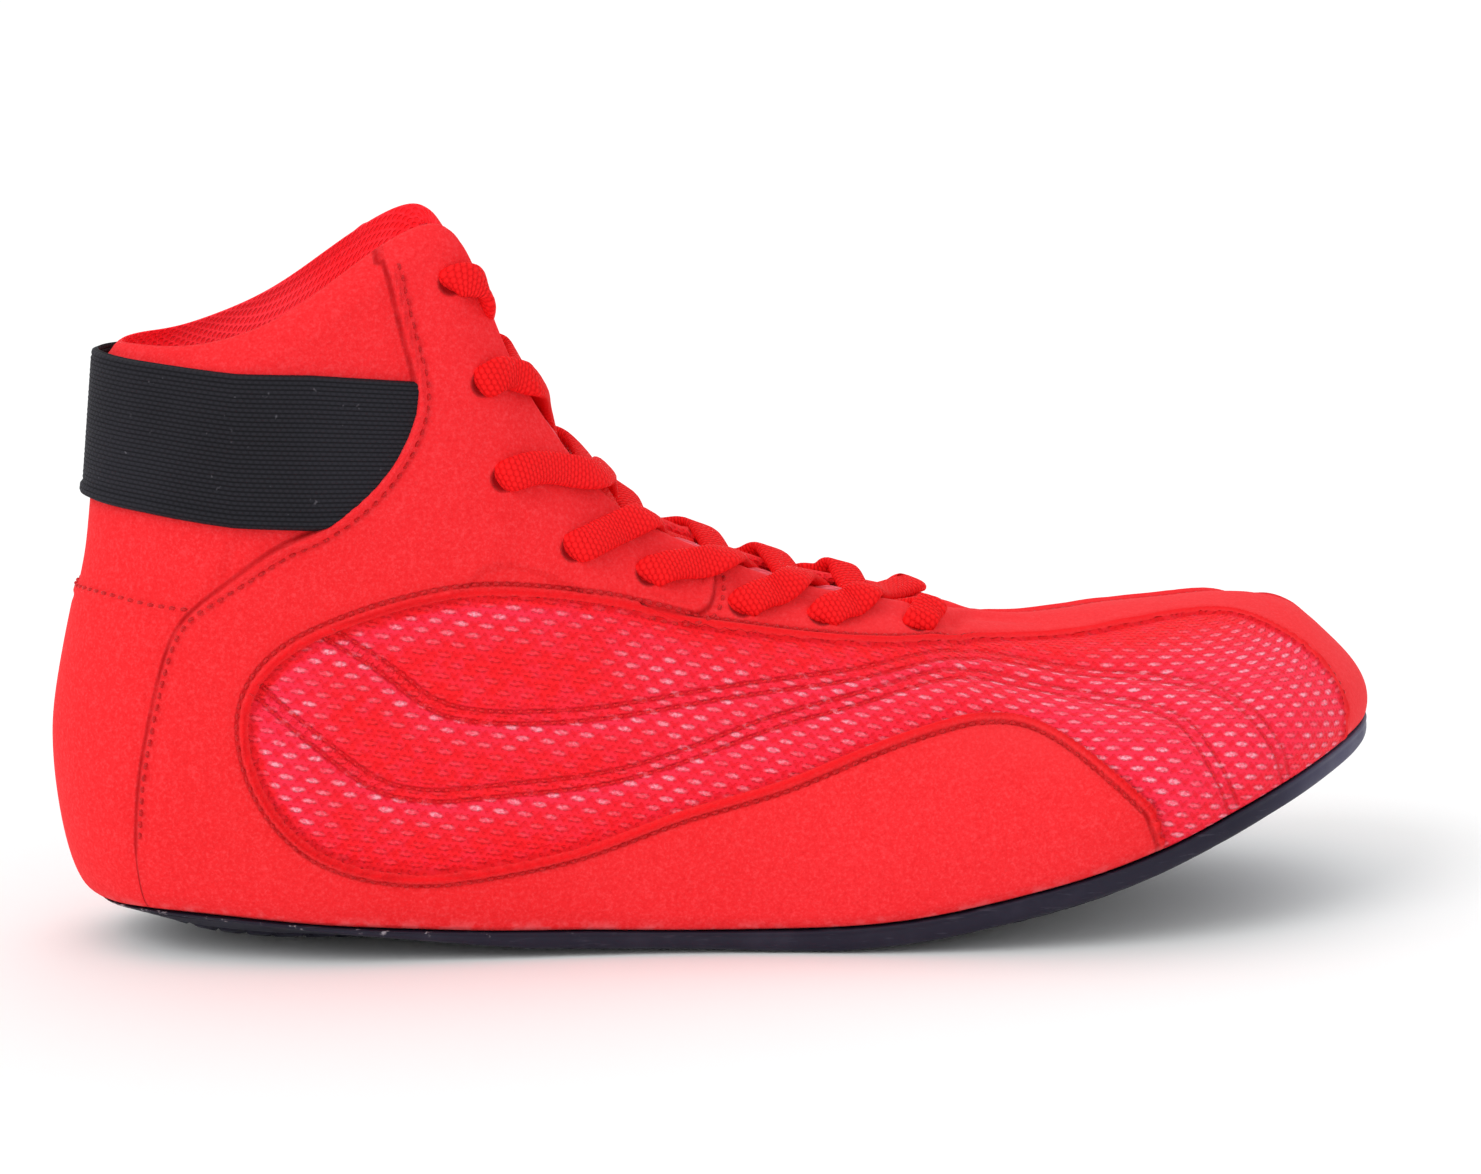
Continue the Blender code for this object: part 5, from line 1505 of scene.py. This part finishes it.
# ---- the tongue -------------------------------------------------------------
def make_tongue(mats):
    rows = np.array(TONGUE)
    count, steps = ((61, 130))
    table = np.stack([spline(rows * (10, 1, 10), 400)[:, k] for k in range(3)], axis=1) / (10, 1, 10)
    where = np.linspace(rows[0, 0], rows[-1, 0], steps)
    half = np.interp(where, table[:, 0], table[:, 1])
    crown = np.interp(where, table[:, 0], table[:, 2])
    crown = np.maximum(crown - 0.9 + 2.7 * bell(where, 7.6, 0.95), 0)
    over = np.array([tongue_line(r, h, c, count) for r, h, c in zip(where, half, crown)])
    middles = 0.5 * (over[:, 0, 1] + over[:, -1, 1])
    s = np.linspace(-1, 1, count)[None, :]
    gaps = np.interp(where, np.linspace(4, 14, 41),
                     [0.5 * (on_face([LOOP - r], [0.99])[0, 1] - on_face([r], [0.99])[0, 1]) for r in np.linspace(4, 14, 41)])
    y_off = abs(over[:, :, 1] - middles[:, None])
    along = np.gradient(over, axis=0)
    across = np.gradient(over, axis=1)
    n = unit(np.cross(along, across))
    n *= np.sign(n[..., 2:3].mean())
    under_flap = smooth(gaps[:, None] - 2.5, gaps[:, None] + 1.5, y_off)
    over = over - n * (1.9 * under_flap * smooth(15.0, 13.0, where)[:, None])[:, :, None]
    marks = np.array([0.5 * (EYELETS[k][2] + crossing(k)[3]) for k in range(len(EYELETS) - 1)])
    press = sum(bell(where, m, 0.30) for m in marks)[:, None] * (1 - under_flap)
    over = over - n * (1.5 * press)[:, :, None]
    # padded, with a rolled free edge at the top and thin sewn sides
    end = (where - where[0]) / (rows[-1, 0] - rows[0, 0]) * 92.0
    roll = np.sqrt(np.clip(1 - (1 - np.clip(end / 3.4, 0, 1)) ** 2, 0, 1))[:, None]
    edge = np.sqrt(np.clip(1 - abs(s) ** 14, 0, 1))
    body = 5.4 * (1 - 0.5 * abs(s) ** 3)
    thick = body * edge * (0.06 + 0.94 * roll)
    seam = bell((1 - abs(s)) * half[:, None], 3.2, 0.7) * smooth(2.0, 6.0, end)[:, None]
    top_seam = bell(end, 5.2, 0.8)[:, None] * (abs(s) < 0.97)
    over = over - n * (0.5 * np.maximum(seam, top_seam))[:, :, None] - n * (0.5 * (body - thick))[:, :, None]
    under = over - n * thick[:, :, None]
    ring = np.concatenate([over, under[:, ::-1]], axis=1)
    cols = ring.shape[1]
    faces = [tuple(f) for f in quads(steps, cols, ring_cols=True)]
    for row, turn in ((0, 1), (steps - 1, -1)):
        base = row * cols
        for k in range(count - 1):
            f = (base + k, base + k + 1, base + cols - 2 - k, base + cols - 1 - k)
            faces.append(f[::turn])
    u = np.broadcast_to(end[:, None], (steps, count))
    v = over[:, :, 1]
    uv = np.stack([u, v], axis=2)
    uv = np.concatenate([uv, uv[:, ::-1]], axis=1) / MM
    obj = build("tongue_pad", ring.reshape(-1, 3), faces, mats, uv=uv.reshape(-1, 2), weld=2e-6)
    return face_out(obj)


# ---- the ankle strap --------------------------------------------------------
def make_strap(mat):
    steps, wide = ((280, 60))
    ends = np.array(STRAP_END)
    edges = np.array(STRAP)
    edges[:, 2] += (1.7, 1.0, 0.5, 0.2, 0.0)
    along = np.linspace(-1, 1, steps)
    coarse = np.linspace(0, 1, 7)
    w_end = []
    for b in coarse:
        z_end = ends[0, 0] + b * (ends[-1, 0] - ends[0, 0])
        x_end = np.interp(z_end, ends[:, 0], ends[:, 1]) + 2.0
        w_end.append(place_at_x([x_end], [z_end], False)[0])
    across = np.linspace(0, 1, wide)
    w_end = np.interp(across, coarse, w_end)
    tables = np.linspace(0, 7, 141)
    faces_at = surface(tables, np.linspace(0, 1, 121))
    heights = faces_at[:, :, 2]
    x85 = surface(tables, np.array([0.85]))[:, 0, 0]
    W = along[:, None] * w_end[None, :]
    rough = np.interp(abs(W), tables, x85)
    low = np.interp(rough, edges[:, 0], edges[:, 1])
    high = np.interp(rough, edges[:, 0], edges[:, 2])
    Z = low + across[None, :] * (high - low) - GAP
    V = np.empty_like(Z)
    up = np.linspace(0, 1, 121)
    for i in range(steps):
        for j in range(wide):
            a = abs(W[i, j]) / 7 * 140
            k = min(int(a), 139)
            f = a - k
            V[i, j] = np.interp(Z[i, j], heights[k] * (1 - f) + heights[k + 1] * f, up)
    flat_w, flat_v = W.ravel(), V.ravel()
    p = on_face(np.mod(flat_w, LOOP), flat_v).reshape(steps, wide, 3)
    tw = np.gradient(p, axis=0)
    tv = np.gradient(p, axis=1)
    n = unit(np.cross(tw, tv))
    n = unit(n + 0.3 * (np.roll(n, 1, axis=0) + np.roll(n, -1, axis=0)))
    n[0], n[-1] = n[1], n[-2]
    mm = across * 30.5
    top_d, low_d = 30.5 - mm, mm
    body = 1.25 * np.sqrt(np.clip(1 - (1 - np.clip(np.minimum(top_d, low_d) / 0.9, 0, 1)) ** 2, 0, 1)) + 0.02
    fold = 0.45 * smooth(3.1, 2.3, low_d) * smooth(-0.4, 0.7, low_d)
    line = -0.28 * bell(low_d, 2.75, 0.35) - 0.22 * bell(top_d, 1.35, 0.3)
    ribs = 0.045 * np.cos(2 * math.pi * mm / 0.92)
    sway = 0.25 * np.sin(along * 9.0 + 1.0)[:, None] * np.sin(across * math.pi)[None, :]
    rise = (0.55 + body + fold + line + ribs)[None, :] + sway * 0.5
    outer = p + n * rise[:, :, None]
    inner = p + n * (0.45 + 0 * rise)[:, :, None]
    ring = np.concatenate([outer, inner[:, ::-1]], axis=1)
    cols = ring.shape[1]
    faces = [tuple(f) for f in quads(steps, cols, ring_cols=True)]
    for row, turn in ((0, 1), (steps - 1, -1)):
        base = row * cols
        for k in range(wide - 1):
            f = (base + k, base + k + 1, base + cols - 2 - k, base + cols - 1 - k)
            faces.append(f[::turn])
    run = np.concatenate([np.zeros((1, wide)), np.cumsum(np.linalg.norm(np.diff(p, axis=0), axis=2), axis=0)])
    run -= run[steps // 2][None, :]
    uv = np.stack([run, np.broadcast_to(mm[None, :], run.shape)], axis=2)
    uv = np.concatenate([uv, uv[:, ::-1]], axis=1) / MM
    return face_out(build("strap_band", ring.reshape(-1, 3), faces, [mat], uv=uv.reshape(-1, 2)))


# ---- insole and sole --------------------------------------------------------
def sole_heights(s, q):
    """Bed (inside) and tread (outside) of the rubber, q from spine 0 to edge 1."""
    edge, bed = s["edge"][:, None], s["bed"][:, None]
    rise = np.clip((q - 0.42) / 0.48, 0, 1)
    rise = rise * rise * (3 - 2 * rise)
    inner = (bed + SOLE_THICK) * (1 - rise) + edge * rise
    low = np.maximum(edge - SOLE_EDGE, bed * 0.6 + 0.25)
    curl = np.clip((q - 0.60) / 0.40, 0, 1) ** 1.7
    outer = bed * (1 - curl) + low * curl
    return inner, outer


def tread(x, y, d):
    """Depth of the tread's grooves in plan, d the distance in from the rim."""
    zig = 2.6 * abs(np.mod(y / 9.0, 1) - 0.5) * 2
    wave = abs(np.mod((x + zig) / 6.0, 1) - 0.5) * 6.0
    cut = smooth(1.15, 0.75, wave)
    pads = np.maximum(smooth(146, 156, x) * smooth(248, 238, x), smooth(92, 82, x) * smooth(18, 26, x))
    arch_rib = abs(np.mod(y / 5.0, 1) - 0.5) * 5.0
    arch = smooth(96, 104, x) * smooth(142, 134, x)
    hoop = smooth(1.1, 0.7, abs(d - 6.0)) * np.maximum(pads, arch)
    return 0.9 * np.maximum(np.maximum(cut * pads, smooth(1.0, 0.6, arch_rib) * arch * 0.7) * smooth(6.4, 7.2, d), 0.8 * hoop)


def make_sole(mat):
    w = ROWS_ROUND
    s = station(w)
    reach = s["reach"][:, None]
    n = len(w)
    q_top = np.array([0, .2, .42, .5, .58, .66, .74, .82, .9, .96, 1.0])[None, :]
    q_low = np.linspace(0, 1, 60)[None, :]
    inner, _ = sole_heights(s, q_top)
    _, outer = sole_heights(s, q_low)

    def plan(radius):
        return s["spine"][:, None] + radius * s["dx"][:, None], s["spine_y"][:, None] + radius * s["dy"][:, None]
    x, y = plan(q_top * reach)
    over = np.stack([x, y, np.broadcast_to(inner, x.shape)], axis=2)
    x, y = plan(q_low * (reach - 1.6))
    d = (1 - q_low) * (reach - 1.6)
    cut = tread(x, y, d)
    heel_lift = 2.2 * smooth(120, 50, x) * smooth(0.35, 0.9, q_low) + 1.5 * smooth(130, 40, x)
    outer = outer + heel_lift
    under = np.stack([x, y, outer + cut], axis=2)
    edge = s["edge"][:, None]
    low = outer[:, -1:]
    tall = edge - low
    rim = []
    shape = ((0.35, 1.0), (0.62, 0.985), (0.80, 0.95), (0.86, 0.90), (0.84, 0.85), (0.76, 0.80), (0.74, 0.74),
             (0.80, 0.68), (0.86, 0.60), (0.88, 0.50), (0.86, 0.40), (0.78, 0.30), (0.60, 0.205), (0.32, 0.125), (-0.10, 0.065), (-0.7, 0.02))
    round_heel = smooth(60, 12, s["x"])[:, None]
    for out, up in shape:
        x, y = plan(reach + out - round_heel * 3.0 * (1 - up) ** 2)
        rim.append(np.stack([x, y, low + tall * up], axis=2))
    rim = np.concatenate(rim, axis=1)
    grid = np.concatenate([over, rim, under[:, ::-1]], axis=1)
    cols = grid.shape[1]
    k0, k1 = over.shape[1], over.shape[1] + rim.shape[1]
    X = grid[:, :, 0]
    lip = np.full((n, cols), 9.0)
    lip[:, k0:k1] = tall * (1 - np.array([u for _, u in shape]))[None, :]
    toe = smooth(236, 284, X)
    back = smooth(118, 60, X)
    run = np.interp(X, [0, 300], [0, 300])
    down = np.concatenate([np.zeros((n, 1)), np.cumsum(np.linalg.norm(np.diff(grid, axis=1), axis=2), axis=1)], axis=1)
    uv = np.stack([run, down], axis=2) / MM
    obj = build("sole_rubber", grid.reshape(-1, 3), [tuple(f) for f in quads(n, cols, ring_rows=True)], [mat],
                uv=uv.reshape(-1, 2), attributes={"lip": lip.ravel(), "toe": toe.ravel(), "back": back.ravel()}, weld=1e-5)
    return face_out(obj)


def make_insole(mat):
    w = ROWS_ROUND[::2]
    s = station(w)
    q = np.linspace(0, 1, 26)[None, :]
    reach = s["reach"][:, None]
    inside_r = reach - WALL - 1.4
    inner, _ = sole_heights(s, q * inside_r / reach)
    x = s["spine"][:, None] + q * inside_r * s["dx"][:, None]
    y = s["spine_y"][:, None] + q * inside_r * s["dy"][:, None]
    soft = 0.25 * np.sin(x / 17.0) * np.sin(y / 11.0) - 0.5 * np.exp(-((x - 45) / 30) ** 2 - (y / 20) ** 2) - 0.5 * np.exp(-((x - 195) / 34) ** 2 - (y / 28) ** 2)
    low = np.stack([x, y, inner + GAP + 0.9], axis=2)
    high = np.stack([x, y, inner + GAP + 0.9 + INSOLE_THICK * np.sqrt(np.clip(1 - q ** 10, 0.02, 1)) + soft * (1 - q ** 4)], axis=2)
    grid = np.concatenate([high, low[:, ::-1]], axis=1)
    n, cols = grid.shape[:2]
    uv = grid[:, :, :2] / MM
    obj = build("insole_sock", grid.reshape(-1, 3), [tuple(f) for f in quads(n, cols, ring_rows=True)], [mat],
                uv=uv.reshape(-1, 2), weld=1e-5)
    return face_out(obj)


# ---- camera, light, floor ---------------------------------------------------
def make_stage():
    scene = bpy.context.scene
    az, el = math.radians(-10.0), math.radians(11.0)
    back = Vector((math.sin(az) * math.cos(el), -math.cos(az) * math.cos(el), math.sin(el)))
    cam = bpy.data.cameras.new("camera")
    cam.lens = 120.2
    cam.sensor_width = 36.0
    cam.clip_start, cam.clip_end = 0.05, 50
    eye = bpy.data.objects.new("camera", cam)
    eye.location = (-0.17674, -1.01349, 0.27035)
    eye.rotation_mode = "QUATERNION"
    eye.rotation_quaternion = (-back).to_track_quat("-Z", "Y")
    scene.collection.objects.link(eye)
    scene.camera = eye
    # floor
    mesh = bpy.data.meshes.new("floor")
    r = 6.0
    mesh.from_pydata([(-r, -r, 0), (r, -r, 0), (r, r, 0), (-r, r, 0)], [], [(0, 1, 2, 3)])
    s = Shade("floor_paper", rough=0.9, specular=0.1)
    tone = s.mix(s.noise(3.0, 2.0), linear(253, 254, 254), linear(254, 255, 255))
    mesh.materials.append(s.done(tone, s.bump(s.noise(900.0, 2.0), 0.05, 0.0001)))
    floor = bpy.data.objects.new("floor", mesh)
    floor.location = (0, 0, cad_low)
    scene.collection.objects.link(floor)
    floor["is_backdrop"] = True
    # light
    world = bpy.data.worlds.new("studio")
    world.use_nodes = True
    world.node_tree.nodes["Background"].inputs[0].default_value = (1, 1, 1, 1)
    world.node_tree.nodes["Background"].inputs[1].default_value = 0.88
    scene.world = world
    for name, toward, angle, power in LIGHTS:
        lamp = bpy.data.lights.new(name, "SUN")
        lamp.energy = power
        lamp.angle = math.radians(angle)
        obj = bpy.data.objects.new(name, lamp)
        obj.location = Vector(toward)
        obj.rotation_mode = "QUATERNION"
        obj.rotation_quaternion = (-Vector(toward)).to_track_quat("-Z", "Y")
        scene.collection.objects.link(obj)
    scene.view_settings.view_transform = "Standard"
    scene.view_settings.look = "None"


LIGHTS = (
    ("key", (-0.80, -0.55, 0.80), 34.0, 0.80),
    ("rim", (0.35, 0.60, 1.00), 45.0, 0.25),
)
cad_low = float(cad_box[0][2])


# ---- putting it together ----------------------------------------------------
def main():
    make_stage()
    outside = upper_material()
    # the lining's through= value is the strength of its painted glow above the strap
    lining = knit_material("red_lining_mesh", linear(232, 10, 20), linear(255, 26, 38), linear(255, 58, 70), 1.8, 1.0, math.radians(12), through=0.34)
    upper = make_upper([outside, lining])
    upper = face_out(upper)
    stitches = make_stitching(thread_material("dark_red_thread", linear(186, 3, 12), linear(216, 14, 24)))
    quilting = make_quilting(thread_material("red_channel_thread", linear(214, 4, 18), linear(236, 18, 34)))
    lace, length = make_lace(lace_material())
    print("lace length mm", round(float(length), 1))
    keeper = make_keeper(ribbon_material())
    tongue = make_tongue([knit_material("red_tongue_mesh", linear(190, 8, 22), linear(240, 30, 50), linear(255, 104, 124), 2.2, 1.4, 0.0)])
    strap = make_strap(elastic_material())
    sole = make_sole(rubber_material())
    insole = make_insole(cloth_material("red_insole_cloth", linear(196, 14, 26), linear(228, 36, 48)))
    for piece, nodes, slot in (
            (upper, ("upper",), "red_suede"), (lace, tuple("lace_cross_%d" % k for k in range(1, 8)), "red_lace"),
            (keeper, ("lace_loop",), "striped_ribbon"), (tongue, ("tongue",), "red_mesh"),
            (strap, ("ankle_strap",), "black_elastic"), (sole, ("outsole",), "black_rubber"),
            (insole, ("insole",), "red_liner"), (stitches, (), "red_suede"), (quilting, (), "red_mesh")):
        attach(piece, "root")
        if nodes:
            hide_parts(*nodes)
    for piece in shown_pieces():
        print("piece", piece.name, len(piece.data.polygons))


main()
